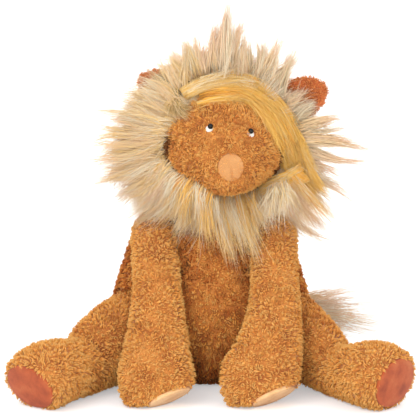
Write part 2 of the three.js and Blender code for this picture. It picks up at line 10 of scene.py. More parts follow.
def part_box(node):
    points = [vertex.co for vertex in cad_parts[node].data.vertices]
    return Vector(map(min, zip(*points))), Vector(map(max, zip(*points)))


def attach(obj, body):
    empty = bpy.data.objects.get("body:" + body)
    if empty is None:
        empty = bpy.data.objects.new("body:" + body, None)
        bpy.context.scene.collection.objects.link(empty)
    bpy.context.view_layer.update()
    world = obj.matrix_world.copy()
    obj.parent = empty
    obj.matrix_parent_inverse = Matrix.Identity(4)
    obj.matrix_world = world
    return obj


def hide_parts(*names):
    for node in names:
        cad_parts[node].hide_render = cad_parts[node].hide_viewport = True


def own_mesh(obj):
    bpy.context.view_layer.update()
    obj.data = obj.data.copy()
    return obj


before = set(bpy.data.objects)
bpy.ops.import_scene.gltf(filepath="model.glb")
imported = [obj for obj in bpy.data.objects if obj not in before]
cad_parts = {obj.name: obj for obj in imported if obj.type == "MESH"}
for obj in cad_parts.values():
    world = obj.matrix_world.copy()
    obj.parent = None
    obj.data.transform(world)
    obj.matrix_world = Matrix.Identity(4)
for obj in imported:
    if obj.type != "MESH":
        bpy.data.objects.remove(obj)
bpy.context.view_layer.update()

# Driving values

SEED = 27
SIDES = ("left", "right")
UP = np.array([0.0, 0.0, 1.0])
FORWARD = np.array([0.0, -1.0, 0.0])
FULL_TURN = 2 * math.pi
FLOOR_GAP = 0.0003
WHITE = (1.0, 1.0, 1.0, 1.0)

# The photograph: its size, its scale, where its middle lies in the model, and the camera's place
PHOTO_WIDTH_PX = 420
PHOTO_HEIGHT_PX = 419
METRES_PER_PX = 0.00085
VIEW_MIDDLE = (-0.00044, 0.0, 0.1488)
ELEVATION = math.radians(12)
VIEW_DIRECTION = Vector((0, math.cos(ELEVATION), -math.sin(ELEVATION)))
CAMERA_DISTANCE = 12.0
CAMERA_REACH = 48.0
SENSOR = 36.0

# The head's own axes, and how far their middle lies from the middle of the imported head
HEAD_YAW = math.radians(10)
HEAD_ROLL = math.radians(8)
HEAD_SHIFT = (0.0004, 0.0033, -0.0002)

# Covers: size of the remesh, rounds of smoothing, and how far each swells after it
SKINS = {
    "torso": {"voxel": 0.0028, "rounds": 26, "swell": 0.0006},
    "head": {"voxel": 0.0022, "rounds": 24, "swell": 0.0005},
    "arm": {"voxel": 0.0020, "rounds": 30, "swell": 0.0008},
    "leg": {"voxel": 0.0024, "rounds": 30, "swell": 0.0009},
    "tail": {"voxel": 0.0012, "rounds": 12, "swell": 0.0003},
    "neck": {"voxel": 0.0024, "rounds": 10, "swell": 0.0002},
    "ear": {"voxel": 0.0009, "rounds": 10, "swell": 0.0002},
}
SMOOTHING_PULLS = (0.5, -0.52)

# Most strands in one piece, and how deep their roots lie in the fabric
TUFTS_PER_PIECE = 19000
STRANDS_PER_PIECE = 5400
BURIED = 0.0006

rng = np.random.default_rng(SEED)


# Small helpers on arrays of points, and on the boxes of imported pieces

def array(values):
    return np.asarray(values, dtype=float)


def unit(vectors):
    return vectors / np.maximum(np.linalg.norm(vectors, axis=-1, keepdims=True), 1e-9)


def corners_of(node):
    low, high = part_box(node)
    return array(low), array(high)


def centre_of(node):
    low, high = corners_of(node)
    return (low + high) / 2


def along_route(route, shares):
    """Places at shares of the way along a row of points."""
    at = np.linspace(0, 1, len(route))
    return np.stack([np.interp(shares, at, values) for values in route.T], axis=-1)


def eased(values, rounds):
    """Evens out a row of values or points and keeps its ends."""
    for _ in range(rounds):
        values[1:-1] = (values[:-2] + 2 * values[1:-1] + values[2:]) / 4
    return values


WAVES = 5
WAVELENGTH_SPREAD = (0.7, 1.5)


def ruffle(points, wavelength, seed):
    """A smooth random vector at each point, made of a few sine waves."""
    source = np.random.default_rng(seed)
    total = np.zeros_like(points)
    for _ in range(WAVES):
        wave = unit(source.normal(size=3)) * FULL_TURN / (
            wavelength * source.uniform(*WAVELENGTH_SPREAD))
        phase = source.uniform(0, FULL_TURN)
        total += np.sin(points @ wave + phase)[:, None] * unit(source.normal(size=3))
    return total / 2


# Meshes from arrays

def mesh_object(name, points, triangles, uvs=None):
    mesh = bpy.data.meshes.new(name)
    mesh.vertices.add(len(points))
    mesh.vertices.foreach_set("co", np.ascontiguousarray(points, dtype=np.float32).ravel())
    mesh.loops.add(triangles.size)
    mesh.loops.foreach_set("vertex_index", triangles.astype(np.int32).ravel())
    mesh.polygons.add(len(triangles))
    mesh.polygons.foreach_set("loop_start", np.arange(0, triangles.size, 3, dtype=np.int32))
    mesh.update(calc_edges=True)
    mesh.shade_smooth()
    if uvs is not None:
        layer = mesh.uv_layers.new(name="OFBake")
        layer.uv.foreach_set("vector", uvs.astype(np.float32).ravel())
    piece = bpy.data.objects.new(name, mesh)
    bpy.context.scene.collection.objects.link(piece)
    return piece


def mesh_arrays(mesh):
    points = np.empty(len(mesh.vertices) * 3, dtype=np.float32)
    mesh.vertices.foreach_get("co", points)
    mesh.calc_loop_triangles()
    triangles = np.empty(len(mesh.loop_triangles) * 3, dtype=np.int32)
    mesh.loop_triangles.foreach_get("vertices", triangles)
    return points.reshape(-1, 3).astype(float), triangles.reshape(-1, 3)


def vertex_normals(points, triangles):
    a, b, c = (points[triangles[:, i]] for i in range(3))
    faces = np.cross(b - a, c - a)
    normals = np.zeros_like(points)
    for i in range(3):
        np.add.at(normals, triangles[:, i], faces)
    return unit(normals)


# Covers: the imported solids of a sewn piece, joined, remeshed, smoothed and swollen a little

def joined(nodes):
    points, triangles, start = [], [], 0
    for node in nodes:
        own, faces = mesh_arrays(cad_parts[node].data)
        points.append(own)
        triangles.append(faces + start)
        start += len(own)
    return np.vstack(points), np.vstack(triangles)


def remeshed(name, points, triangles, voxel):
    rough = mesh_object(name + "_rough", points, triangles)
    remesh = rough.modifiers.new("remesh", "REMESH")
    remesh.mode = "VOXEL"
    remesh.voxel_size = voxel
    graph = bpy.context.evaluated_depsgraph_get()
    mesh = bpy.data.meshes.new_from_object(rough.evaluated_get(graph))
    bpy.data.objects.remove(rough)
    return mesh


def smoothed(points, edges, rounds):
    """Taubin smoothing: facets go, and the size stays."""
    ends = np.vstack([edges, edges[:, ::-1]])
    count = np.bincount(ends[:, 0], minlength=len(points))[:, None]
    for step in range(rounds * 2):
        total = np.zeros_like(points)
        for axis in range(3):
            total[:, axis] = np.bincount(ends[:, 0], points[ends[:, 1], axis], minlength=len(points))
        points = points + SMOOTHING_PULLS[step % 2] * (total / count - points)
    return points


def cover(name, nodes, kind, body, fabric, shape=None):
    sizes = SKINS[kind]
    mesh = remeshed(name, *joined(nodes), sizes["voxel"])
    points, triangles = mesh_arrays(mesh)
    edges = np.empty(len(mesh.edges) * 2, dtype=np.int32)
    mesh.edges.foreach_get("vertices", edges)
    points = smoothed(points, edges.reshape(-1, 2), sizes["rounds"])
    points += vertex_normals(points, triangles) * sizes["swell"]
    if shape:
        points = shape(points)
    points[:, 2] = np.maximum(points[:, 2], FLOOR_GAP)
    bpy.data.meshes.remove(mesh)
    piece = mesh_object(name, points, triangles)
    dress(piece, fabric)
    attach(piece, body)
    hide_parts(*nodes)
    return piece


def tree_of(piece):
    points, triangles = mesh_arrays(piece.data)
    return BVHTree.FromPolygons(points.tolist(), triangles.tolist())


def depth_inside(tree, points, reach):
    """How deep each point lies inside a closed cover, up to reach; below zero outside."""
    depths = np.full(len(points), -reach)
    for i, point in enumerate(points.tolist()):
        place, normal, _, distance = tree.find_nearest(point, reach)
        if place is not None:
            inside = (Vector(point) - place).dot(normal) < 0
            depths[i] = distance if inside else -distance
    return depths


def pushed_out(tree, points, clearance, reach):
    """Moves points that lie inside a cover, or nearer than clearance, out to it."""
    moved = points.copy()
    for i, point in enumerate(points.tolist()):
        place, normal, _, distance = tree.find_nearest(point, reach)
        if place is None:
            continue
        height = (Vector(point) - place).dot(normal)
        if height < clearance:
            moved[i] = array(place) + array(normal) * clearance
    return moved


# Strands: closed three-sided hairs that taper to a point

# Each keeps to the middle of its column of the palette, and its root's end to the low edge
COLUMN_MARGIN_SHARE = 0.2
CAP_SHARE = 0.02


def strand_mesh(name, paths, halves, columns, column_count):
    """paths is (strands, steps + 1, 3) and halves (strands, steps). The map's u is the palette's
    column and its v runs from root to tip."""
    count, places, _ = paths.shape
    rings = places - 1
    tangents = unit(np.gradient(paths, axis=1))[:, :rings]
    reference = unit(rng.normal(size=(count, 1, 3)))
    across = unit(np.cross(tangents, reference))
    over = np.cross(tangents, across)
    corners = []
    for corner in range(3):
        turn = FULL_TURN * corner / 3
        corners.append(paths[:, :rings] + halves[:, :, None] * (
            math.cos(turn) * across + math.sin(turn) * over))
    ring_points = np.stack(corners, axis=2).reshape(count, rings * 3, 3)
    points = np.concatenate([ring_points, paths[:, -1:]], axis=1)
    faces, face_uvs = strand_pattern(rings)
    start = (np.arange(count) * (rings * 3 + 1))[:, None, None]
    triangles = (faces[None] + start).reshape(-1, 3)
    uvs = np.empty((count, len(faces), 3, 2))
    uvs[..., 0] = (columns[:, None, None] + face_uvs[None, ..., 0]) / column_count
    uvs[..., 1] = face_uvs[None, ..., 1]
    return mesh_object(name, points.reshape(-1, 3), triangles, uvs.reshape(-1, 2))


def strand_pattern(rings):
    """The triangles of one strand, and their places in the palette's column."""
    faces, uvs = [], []
    margin = COLUMN_MARGIN_SHARE
    for ring in range(rings):
        low, high = ring / rings, (ring + 1) / rings
        for corner in range(3):
            after = (corner + 1) % 3
            a, b = ring * 3 + corner, ring * 3 + after
            left = margin + (1 - 2 * margin) * corner / 3
            right = margin + (1 - 2 * margin) * (corner + 1) / 3
            if ring + 1 < rings:
                faces += [(a, b, b + 3), (a, b + 3, a + 3)]
                uvs += [((left, low), (right, low), (right, high)),
                        ((left, low), (right, high), (left, high))]
            else:
                faces.append((a, b, rings * 3))
                uvs.append(((left, low), (right, low), ((left + right) / 2, high)))
    faces.append((2, 1, 0))
    uvs.append(((margin, 0.0), (1 - margin, 0.0), (margin, CAP_SHARE)))
    return np.array(faces), array(uvs)


def strand_pieces(name, paths, halves, columns, column_count, body, fabric, most):
    """One piece for each group of strands, few enough for a piece's limit on faces."""
    groups = max(1, math.ceil(len(paths) / most))
    pieces = []
    for i, part in enumerate(np.array_split(np.arange(len(paths)), groups)):
        piece = strand_mesh(f"{name}_{i + 1}", paths[part], halves[part], columns[part], column_count)
        dress(piece, fabric)
        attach(piece, body)
        pieces.append(piece)
    return pieces


# Short pile: spacing, length and half width of a tuft, how far it leans, how much its stroke
# wanders, the spacing of the curls and how much the tufts gather in them

PILE = {"spacing": 0.00145, "length": 0.0040, "half": 0.00048, "lean": 0.7, "ruffle": 0.5,
        "curl": 0.0036, "gather": 0.6}
FACE_PILE = {"spacing": 0.0012, "length": 0.0044, "half": 0.00038, "lean": 1.0, "ruffle": 0.5,
             "curl": 0.0030, "gather": 0.5}
EAR_PILE = {"spacing": 0.0011, "length": 0.0034, "half": 0.0003, "lean": 0.7, "ruffle": 0.7,
            "curl": 0.0026, "gather": 0.4}
TRIES_PER_CELL = 2.6
STROKE_WAVELENGTH = 0.012
CURL_STRAY = 0.6
TUFT_STRAY = 0.5
CURL_LENGTHS = (0.75, 1.15)
TUFT_LENGTHS = (0.65, 1.15)
TUFT_WIDTHS = (0.8, 1.3)
TUFT_TAPER = (1.0, 0.85)
TIP_STRAY = 0.0003
BOW_SHARE = 0.16
# Pile is left out near the floor, and from this depth under another cover, looked for so far
PILE_LOWEST = 0.0012
HIDDEN_DEPTH = 0.0012
HIDDEN_REACH = 0.0096


def scattered(piece, spacing):
    """Points on a cover about one spacing apart, with their normals."""
    points, triangles = mesh_arrays(piece.data)
    normals = vertex_normals(points, triangles)
    a, b, c = (points[triangles[:, i]] for i in range(3))
    areas = np.linalg.norm(np.cross(b - a, c - a), axis=1) / 2
    tries = int(areas.sum() / spacing ** 2 * TRIES_PER_CELL)
    chosen = rng.choice(len(triangles), size=tries, p=areas / areas.sum())
    u, v = rng.random((2, tries))
    over = u + v > 1
    u[over], v[over] = 1 - u[over], 1 - v[over]
    shares = np.stack([1 - u - v, u, v], axis=1)[:, :, None]
    places = (points[triangles[chosen]] * shares).sum(axis=1)
    facing = unit((normals[triangles[chosen]] * shares).sum(axis=1))
    cells = np.floor(places / spacing).astype(int)
    _, kept = np.unique(cells, axis=0, return_index=True)
    kept = np.sort(kept)
    return places[kept], facing[kept]


def nearest_index(centres, places):
    tree = KDTree(len(centres))
    for i, centre in enumerate(centres.tolist()):
        tree.insert(centre, i)
    tree.balance()
    return np.array([tree.find(place)[1] for place in places.tolist()])


def pile(name, piece, body, fabric, sizes, flow, columns_of, under=(), keep=None):
    """Short tufts over a cover, drawn together in curls, and left out under another cover."""
    places, facing = scattered(piece, sizes["spacing"])
    shown = places[:, 2] > PILE_LOWEST
    if keep is not None:
        shown &= keep(places)
    places, facing = places[shown], facing[shown]
    for other in under:
        outside = depth_inside(other, places, HIDDEN_REACH) < HIDDEN_DEPTH
        places, facing = places[outside], facing[outside]
    count = len(places)
    centres, centre_facing = scattered(piece, sizes["curl"])
    owner = nearest_index(centres, places)
    stroke = flow(centres) + sizes["ruffle"] * ruffle(centres, STROKE_WAVELENGTH, SEED) + (
        CURL_STRAY * rng.normal(size=(len(centres), 3)))
    stroke -= centre_facing * (stroke * centre_facing).sum(axis=1, keepdims=True)
    rise = sizes["length"] * rng.uniform(*CURL_LENGTHS, size=(len(centres), 1))
    summit = (centres + unit(centre_facing + sizes["lean"] * stroke) * rise)[owner]
    own_stroke = stroke[owner] + TUFT_STRAY * rng.normal(size=(count, 3))
    own = places + unit(facing + sizes["lean"] * own_stroke) * sizes["length"] * (
        rng.uniform(*TUFT_LENGTHS, size=(count, 1)))
    tip = own + (summit - own) * sizes["gather"] + TIP_STRAY * rng.normal(size=(count, 3))
    root = places - facing * BURIED
    middle = root + (tip - root) * 0.5 + facing * sizes["length"] * BOW_SHARE
    paths = np.stack([root, middle, tip], axis=1)
    paths[..., 2] = np.maximum(paths[..., 2], FLOOR_GAP)
    halves = sizes["half"] * rng.uniform(*TUFT_WIDTHS, size=(count, 1)) * array(TUFT_TAPER)[None]
    columns = columns_of(places, rng.normal(size=len(centres))[owner])
    return strand_pieces(name, paths, halves, columns, PILE_COLUMNS, body, fabric, TUFTS_PER_PIECE)


# Palettes: root, middle and tip colours of each family of strands, how many shades each has,
# how far they spread and where they end, and how dark the darkest is

SHADES = 6
SHADE_SPREAD = 0.22
LIGHTEST = 0.999
DARKEST_PILE = 0.74
DARKEST_HAIR = 0.92
PILE_FAMILIES = [
    ("DC9038", "FCB45A", "FFD282"),
    ("D88A34", "F8AC50", "FFC872"),
    ("C67A2C", "EC9A42", "FCB860"),
    ("AA5E22", "D88036", "EE9E50"),
    ("924A18", "BE6628", "D88038"),
    ("BE5C24", "EE8646", "FFA868"),
    ("AA4E20", "D87238", "EE925A"),
    # The last family, a near black brown, is painted shade
    ("4A2810", "74421C", "9A622C"),
]
RUST_FAMILIES = (5, 6)
PAINTED_SHADE_FAMILY = 7
HAIR_FAMILIES = {
    "peach": ("F2CE98", "FFE0AC", "FFD4AA"),
    "pinkish": ("EACCA4", "FFDEBA", "FFD6BA"),
    "blond": ("F4CC80", "FFDC94", "FFE2A6"),
    "pale": ("F0DEB8", "FFF2D4", "FFF6DE"),
    "grey": ("B4A684", "ECDCB6", "FFECC8"),
    "golden": ("FCB848", "FFCA5A", "FFD67C"),
    "amber": ("D08C30", "FCB044", "FFC460"),
    "dark": ("5E4E30", "A88E60", "E8CA94"),
}
HAIR_NAMES = list(HAIR_FAMILIES)
PILE_COLUMNS = len(PILE_FAMILIES) * SHADES
HAIR_COLUMNS = len(HAIR_NAMES) * SHADES


def linear(text):
    """A colour written as it shows, as the shader wants it."""
    shown = [int(text[i:i + 2], 16) / 255 for i in (0, 2, 4)]
    return tuple(c / 12.92 if c <= 0.04045 else ((c + 0.055) / 1.055) ** 2.4 for c in shown) + (1.0,)


def shades_about(middle, count):
    """Shade numbers spread about a middle one, from 0, dark, to 1, light."""
    spread = np.clip(middle + SHADE_SPREAD * rng.normal(size=count), 0, LIGHTEST)
    return (spread * SHADES).astype(int)


# Mottling of the pile: lengths of its fine and broad waves, the weights of the broad waves, of a
# curl and of a tuft, where each family ends, and from where the darkest one, painted shade, takes over
MOTTLE_WAVELENGTHS = (0.009, 0.028)
BROAD_WEIGHT = 0.8
CURL_WEIGHT = 0.45
TUFT_WEIGHT = 0.4
MOTTLE_LIMITS = (-0.5, 0.3, 0.9, 1.5)
DEEP_SHADE = 2.9
PILE_SHADE = 0.72
RUST_SHADE = 0.75
CURL_SHADE = 0.16
RUST_LIMIT = 0.4


def pile_columns(places, curl, rust=0.0):
    """Golden brown pile with rust mottling a few millimetres across."""
    fine, broad = MOTTLE_WAVELENGTHS
    field = ruffle(places, fine, SEED + 2)[:, 0] + BROAD_WEIGHT * ruffle(places, broad, SEED + 3)[:, 1]
    # rust is the callers' shift towards darker families; on the torso and thighs it carries painted shade
    field += CURL_WEIGHT * curl + TUFT_WEIGHT * rng.normal(size=len(places)) + rust
    family = np.digitize(field, MOTTLE_LIMITS)
    # Where the field runs deepest, mostly from painted shade, the darkest family stands for painted shade
    family = np.where(field > DEEP_SHADE, PAINTED_SHADE_FAMILY, family)
    return family * SHADES + shades_about(PILE_SHADE + CURL_SHADE * curl, len(places))


def rust_columns(places, curl):
    family = np.where(curl + rng.normal(size=len(places)) < RUST_LIMIT, *RUST_FAMILIES)
    return family * SHADES + shades_about(RUST_SHADE + CURL_SHADE * curl, len(places))


# How much more rust the pile shows on the torso, and on a thigh down to its foot. On the torso and
# thighs it is partly painted shade: beside the arms, at the torso's sides, towards the floor, and on a
# thigh near the body
TORSO_RUST_AND_SHADE = 0.6
LOW_PAINTED_SHADE = 2.0
LOW_SHADE_HEIGHT = 0.045
SIDE_PAINTED_SHADE = 1.1
ARM_SHADE_RUST = 2.2
ARM_SHADE_REACH = 0.018
THIGH_RUST_AND_SHADE = 1.25
FOOT_RUST_AND_SHADE = -0.9
ARM_RUST = -0.5
FACE_RUST = 0.3


def torso_columns(places, curl):
    """Painted shade: the belly's pile is coloured darker beside the arms, at its sides and towards the
    floor.
    """
    low, high = corners_of("torso_cover")
    aside = np.abs(2 * (places[:, 0] - low[0]) / (high[0] - low[0]) - 1)
    shade = TORSO_RUST_AND_SHADE + LOW_PAINTED_SHADE * np.clip(1 - places[:, 2] / LOW_SHADE_HEIGHT, 0, 1)
    shade += SIDE_PAINTED_SHADE * aside ** 3
    for side in SIDES:
        near = depth_inside(trees[f"arm_{side}"], places, ARM_SHADE_REACH)
        shade += ARM_SHADE_RUST * (1 + near / ARM_SHADE_REACH)
    return pile_columns(places, curl, shade)


def arm_columns(places, curl):
    return pile_columns(places, curl, ARM_RUST)


# Painted shade: a thigh's pile is coloured darker near the body and lighter towards its foot
def leg_columns(places, curl):
    middle = centre_of("torso_cover")
    away = np.hypot(places[:, 0] - middle[0], places[:, 1] - middle[1])
    share = np.clip((away - away.min()) / (away.max() - away.min()), 0, 1)
    return pile_columns(places, curl, THIGH_RUST_AND_SHADE + (FOOT_RUST_AND_SHADE - THIGH_RUST_AND_SHADE) * share)


def face_columns(places, curl):
    return pile_columns(places, curl, FACE_RUST)


# Painted shade along the jaw, where the face tucks under the mane: its shade, the turns between
# which it runs, where it starts at each, and how ragged it is
EDGE_SHADE = 0.5
EDGE_CURL_SHADE = 0.2
JAW_SHADE_TURNS = (math.radians(176), math.radians(376))
JAW_SHADE_SHARES = (0.93, 0.87)
EDGE_WRAP = math.radians(90)
RAGGED_SHARE = 0.02
RAGGED_WAVELENGTH = 0.003


def jaw_shade_columns(places, curl):
    """Painted shade: the face's pile takes the darkest family where it tucks under the mane along the jaw.
    """
    return PAINTED_SHADE_FAMILY * SHADES + shades_about(EDGE_SHADE + EDGE_CURL_SHADE * curl, len(places))


def in_jaw_shade(places):
    local = to_head(places)
    turn = np.arctan2(local[:, 2], local[:, 0]) % FULL_TURN
    turn = np.where(turn < EDGE_WRAP, turn + FULL_TURN, turn)
    share = np.hypot(local[:, 0], local[:, 2]) / round_face(turn, edge_radii)
    start = np.interp(turn, JAW_SHADE_TURNS, JAW_SHADE_SHARES)
    ragged = share + RAGGED_SHARE * ruffle(places, RAGGED_WAVELENGTH, SEED + 5)[:, 0]
    return (turn > JAW_SHADE_TURNS[0]) & (turn < JAW_SHADE_TURNS[1]) & (ragged > start)


# Materials


def dress(piece, made):
    piece.data.materials.append(made)


def material(name, roughness):
    made = bpy.data.materials.new(name)
    made.use_nodes = True
    shader = made.node_tree.nodes["Principled BSDF"]
    shader.inputs["Roughness"].default_value = roughness
    return made, made.node_tree, shader


def new(tree, kind, **settings):
    node = tree.nodes.new(kind)
    for key, value in settings.items():
        setattr(node, key, value)
    return node


def feed(tree, output, socket):
    tree.links.new(output, socket)
    return output


def ramp(tree, factor, stops, interpolation="LINEAR"):
    node = new(tree, "ShaderNodeValToRGB")
    node.color_ramp.interpolation = interpolation
    elements = node.color_ramp.elements
    while len(elements) > 1:
        elements.remove(elements[0])
    elements[0].position = stops[0][0]
    elements[0].color = stops[0][1]
    for place, colour in stops[1:]:
        elements.new(place).color = colour
    feed(tree, factor, node.inputs["Fac"])
    return node.outputs["Color"]


def math_node(tree, operation, a, b=None):
    node = new(tree, "ShaderNodeMath", operation=operation)
    for socket, value in zip(node.inputs, (a, b)):
        if value is None:
            continue
        if isinstance(value, (int, float)):
            socket.default_value = value
        else:
            feed(tree, value, socket)
    return node.outputs[0]


def mix(tree, factor, a, b, blend="MIX"):
    node = new(tree, "ShaderNodeMix", data_type="RGBA", blend_type=blend)
    for name, value in (("Factor", factor), ("A", a), ("B", b)):
        sockets = [s for s in node.inputs if s.name == name and s.enabled]
        if isinstance(value, (int, float, tuple)):
            sockets[0].default_value = value
        else:
            feed(tree, value, sockets[0])
    return next(s for s in node.outputs if s.enabled)


NOISE_ROUGHNESS = 0.55


def noise(tree, scale, detail):
    node = new(tree, "ShaderNodeTexNoise")
    node.inputs["Scale"].default_value = scale
    node.inputs["Detail"].default_value = detail
    node.inputs["Roughness"].default_value = NOISE_ROUGHNESS
    feed(tree, new(tree, "ShaderNodeTexCoord").outputs["Object"], node.inputs["Vector"])
    return node.outputs["Fac"]


def bump(tree, shader, height, strength, distance):
    node = new(tree, "ShaderNodeBump")
    node.inputs["Strength"].default_value = strength
    node.inputs["Distance"].default_value = distance
    feed(tree, height, node.inputs["Height"])
    feed(tree, node.outputs["Normal"], shader.inputs["Normal"])


# Where along a strand its root colour ends and its tip colour starts, and its soft gloss
ROOT_COLOUR_END = 0.42
TIP_COLOUR_START = 0.38
STRAND_SHEEN_ROUGHNESS = 0.6
STRAND_SPECULAR = 0.3


def strand_material(name, families, roughness, sheen, darkest, sheen_weight=1.0):
    """Colour from the palette's column and the height along the strand, from the map alone."""
    made, tree, shader = material(name, roughness)
    shader.inputs["Sheen Weight"].default_value = sheen_weight
    shader.inputs["Sheen Roughness"].default_value = STRAND_SHEEN_ROUGHNESS
    shader.inputs["Sheen Tint"].default_value = linear(sheen)
    shader.inputs["Specular IOR Level"].default_value = STRAND_SPECULAR
    split = new(tree, "ShaderNodeSeparateXYZ")
    feed(tree, new(tree, "ShaderNodeUVMap", uv_map="OFBake").outputs["UV"], split.inputs[0])
    along = split.outputs["Y"]
    colours = []
    for part in range(3):
        stops = [(i / len(families), linear(family[part])) for i, family in enumerate(families)]
        colours.append(ramp(tree, split.outputs["X"], stops, "CONSTANT"))
    low = new(tree, "ShaderNodeMapRange", interpolation_type="SMOOTHSTEP")
    low.inputs["From Max"].default_value = ROOT_COLOUR_END
    feed(tree, along, low.inputs["Value"])
    high = new(tree, "ShaderNodeMapRange", interpolation_type="SMOOTHSTEP")
    high.inputs["From Min"].default_value = TIP_COLOUR_START
    feed(tree, along, high.inputs["Value"])
    lower = mix(tree, low.outputs["Result"], colours[0], colours[1])
    whole = mix(tree, high.outputs["Result"], lower, colours[2])
    column = math_node(tree, "MULTIPLY", split.outputs["X"], float(len(families)))
    within = math_node(tree, "MULTIPLY", math_node(tree, "FRACT", column), float(SHADES))
    shade = new(tree, "ShaderNodeMapRange")
    shade.inputs["From Max"].default_value = SHADES - 1.0
    shade.inputs["To Min"].default_value = darkest
    shade.inputs["To Max"].default_value = 1.0
    feed(tree, math_node(tree, "FLOOR", within), shade.inputs["Value"])
    hue = new(tree, "ShaderNodeHueSaturation")
    feed(tree, shade.outputs["Result"], hue.inputs["Value"])
    feed(tree, whole, hue.inputs["Color"])
    feed(tree, hue.outputs["Color"], shader.inputs["Base Color"])
    return made


# Fabrics: roughness, sheen, scale and detail of their patches and of their grain, where the
# colours lie on the patches' ramp, the ends and darkest value of the grain's ramp, and its bump
BACKING = {
    "roughness": 0.95, "sheen": 0.25, "patches": (55.0, 3.0), "grain": (900.0, 2.0),
    "stops": (0.32, 0.5, 0.68), "grain_stops": (0.3, 0.7), "darkest": 0.7, "bump": (0.6, 0.0006),
}
SUEDE = {
    "roughness": 0.9, "sheen": 0.15, "patches": (70.0, 5.0), "grain": (1500.0, 3.0),
    "stops": (0.3, 0.52, 0.75), "grain_stops": (0.35, 0.65), "darkest": 0.82, "bump": (0.35, 0.0003),
}
# Smooth pieces: roughness, gloss, scale and detail of the faint ripple that moulding leaves, where
# the colours lie on its ramp, and its bump
POLISHED = {
    "roughness": 0.12, "gloss": 0.3, "ripple": (400.0, 2.0), "stops": (0.4, 0.65),
    "bump": (0.05, 0.0001),
}
MOULDED = {
    "roughness": 0.45, "gloss": 0.5, "ripple": (300.0, 3.0), "stops": (0.35, 0.65),
    "bump": (0.1, 0.0001),
}


def coloured_stops(kind, colours):
    return [(place, linear(colour)) for place, colour in zip(kind["stops"], colours)]


def fabric_material(name, kind, *colours):
    """Soft patches of colour over a fine grain: the knitted back of a plush fabric, or suede."""
    made, tree, shader = material(name, kind["roughness"])
    shader.inputs["Sheen Weight"].default_value = kind["sheen"]
    patches = noise(tree, *kind["patches"])
    grain = noise(tree, *kind["grain"])
    start, end = kind["grain_stops"]
    shade = ramp(tree, grain, [(start, (kind["darkest"],) * 3 + (1.0,)), (end, WHITE)])
    colour = mix(tree, 1.0, ramp(tree, patches, coloured_stops(kind, colours)), shade, "MULTIPLY")
    feed(tree, colour, shader.inputs["Base Color"])
    bump(tree, shader, grain, *kind["bump"])
    return made


def smooth_material(name, kind, *colours):
    made, tree, shader = material(name, kind["roughness"])
    shader.inputs["Specular IOR Level"].default_value = kind["gloss"]
    ripple = noise(tree, *kind["ripple"])
    feed(tree, ramp(tree, ripple, coloured_stops(kind, colours)), shader.inputs["Base Color"])
    bump(tree, shader, ripple, *kind["bump"])
    return made


def pile_material(name, sheen, roughness=0.75, sheen_weight=1.0):
    return strand_material(name, PILE_FAMILIES, roughness, sheen, DARKEST_PILE, sheen_weight)


def hair_material(name, sheen, roughness=0.5):
    return strand_material(name, list(HAIR_FAMILIES.values()), roughness, sheen, DARKEST_HAIR)


plush_pile = pile_material("plush_pile", "FFC070")
shaded_pile = pile_material("shaded_pile", "C08040", roughness=0.8, sheen_weight=0.0)
rust_pile = pile_material("rust_pile", "FFC070")
hair_pile = hair_material("mane_pile", "FFE2C2")
band_pile = hair_material("band_pile", "FFD080")
tuft_hair = hair_material("tuft_pile", "FFE8D4")
plush_backing = fabric_material("plush_backing", BACKING, "A85E28", "CC8038", "E8A050")
mane_backing = fabric_material("mane_backing", BACKING, "C8A468", "E8C88C", "FAE0B0")
rust_backing = fabric_material("rust_backing", BACKING, "B05828", "D4703A", "E4884E")
terracotta = fabric_material("terracotta_suede", SUEDE, "A04420", "C05A2C", "D07440")
pale_suede = fabric_material("pale_suede", SUEDE, "E6AE74", "F6C48C", "FFD6A4")
felt = fabric_material("nose_felt", SUEDE, "CA8C54", "D6985C", "DEA56C")
white_felt = fabric_material("white_felt", SUEDE, "F2ECE2", "FCF9F2", "FFFEFA")
black_bead = smooth_material("black_bead", POLISHED, "0C0A09", "1A1614")
washer_plastic = smooth_material("washer_plastic", MOULDED, "D9D5CB", "E6E3DA")


# The head's axes: across, back and up in its own frame

head_low, _ = corners_of("head_cover")
head_turn = np.array(Matrix.Rotation(HEAD_YAW, 3, "Z") @ Matrix.Rotation(HEAD_ROLL, 3, "Y"))
head_middle = centre_of("head_cover") + array(HEAD_SHIFT)
# A depth in front of the whole head, from which it is looked at, and the way back to the camera
AHEAD_OF_HEAD = -0.30
TOWARDS_CAMERA = -array(VIEW_DIRECTION)


def from_head(local):
    return array(local) @ head_turn.T + head_middle


def to_head(points):
    return (points - head_middle) @ head_turn


def photo_place(x_px, y_px, depth):
    """The place at a depth (Y) that shows at a pixel of the photograph."""
    right = (x_px - PHOTO_WIDTH_PX / 2) * METRES_PER_PX + VIEW_MIDDLE[0]
    up = (PHOTO_HEIGHT_PX / 2 - y_px) * METRES_PER_PX
    z = VIEW_MIDDLE[2] + (up - depth * math.sin(ELEVATION)) / math.cos(ELEVATION)
    return array([right, depth, z])


def to_pixels(points):
    """Where places of the model show in the photograph."""
    up = points[:, 1] * math.sin(ELEVATION) + (points[:, 2] - VIEW_MIDDLE[2]) * math.cos(ELEVATION)
    right = points[:, 0] - VIEW_MIDDLE[0]
    return np.stack([PHOTO_WIDTH_PX / 2 + right / METRES_PER_PX,
                     PHOTO_HEIGHT_PX / 2 - up / METRES_PER_PX], axis=1)


# Covers

# How much of its length each ear keeps once it sinks in the mane, and how much of it is its root
EAR_SHARES = {"left": 0.94, "right": 0.97}
EAR_ROOT_SHARE = 0.1
# The palm is a flat across the lower front edge of a paw: the way it faces, how far its middle
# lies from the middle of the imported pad, and how far the pile stays from it
PALM_FACING = unit(array([0.42, -0.37, -0.83]))
PALM_SHIFTS = {"left": (0.004, 0.002, 0.001), "right": (0.002, 0.001, 0.0)}
PALM_MARGIN = 0.0012


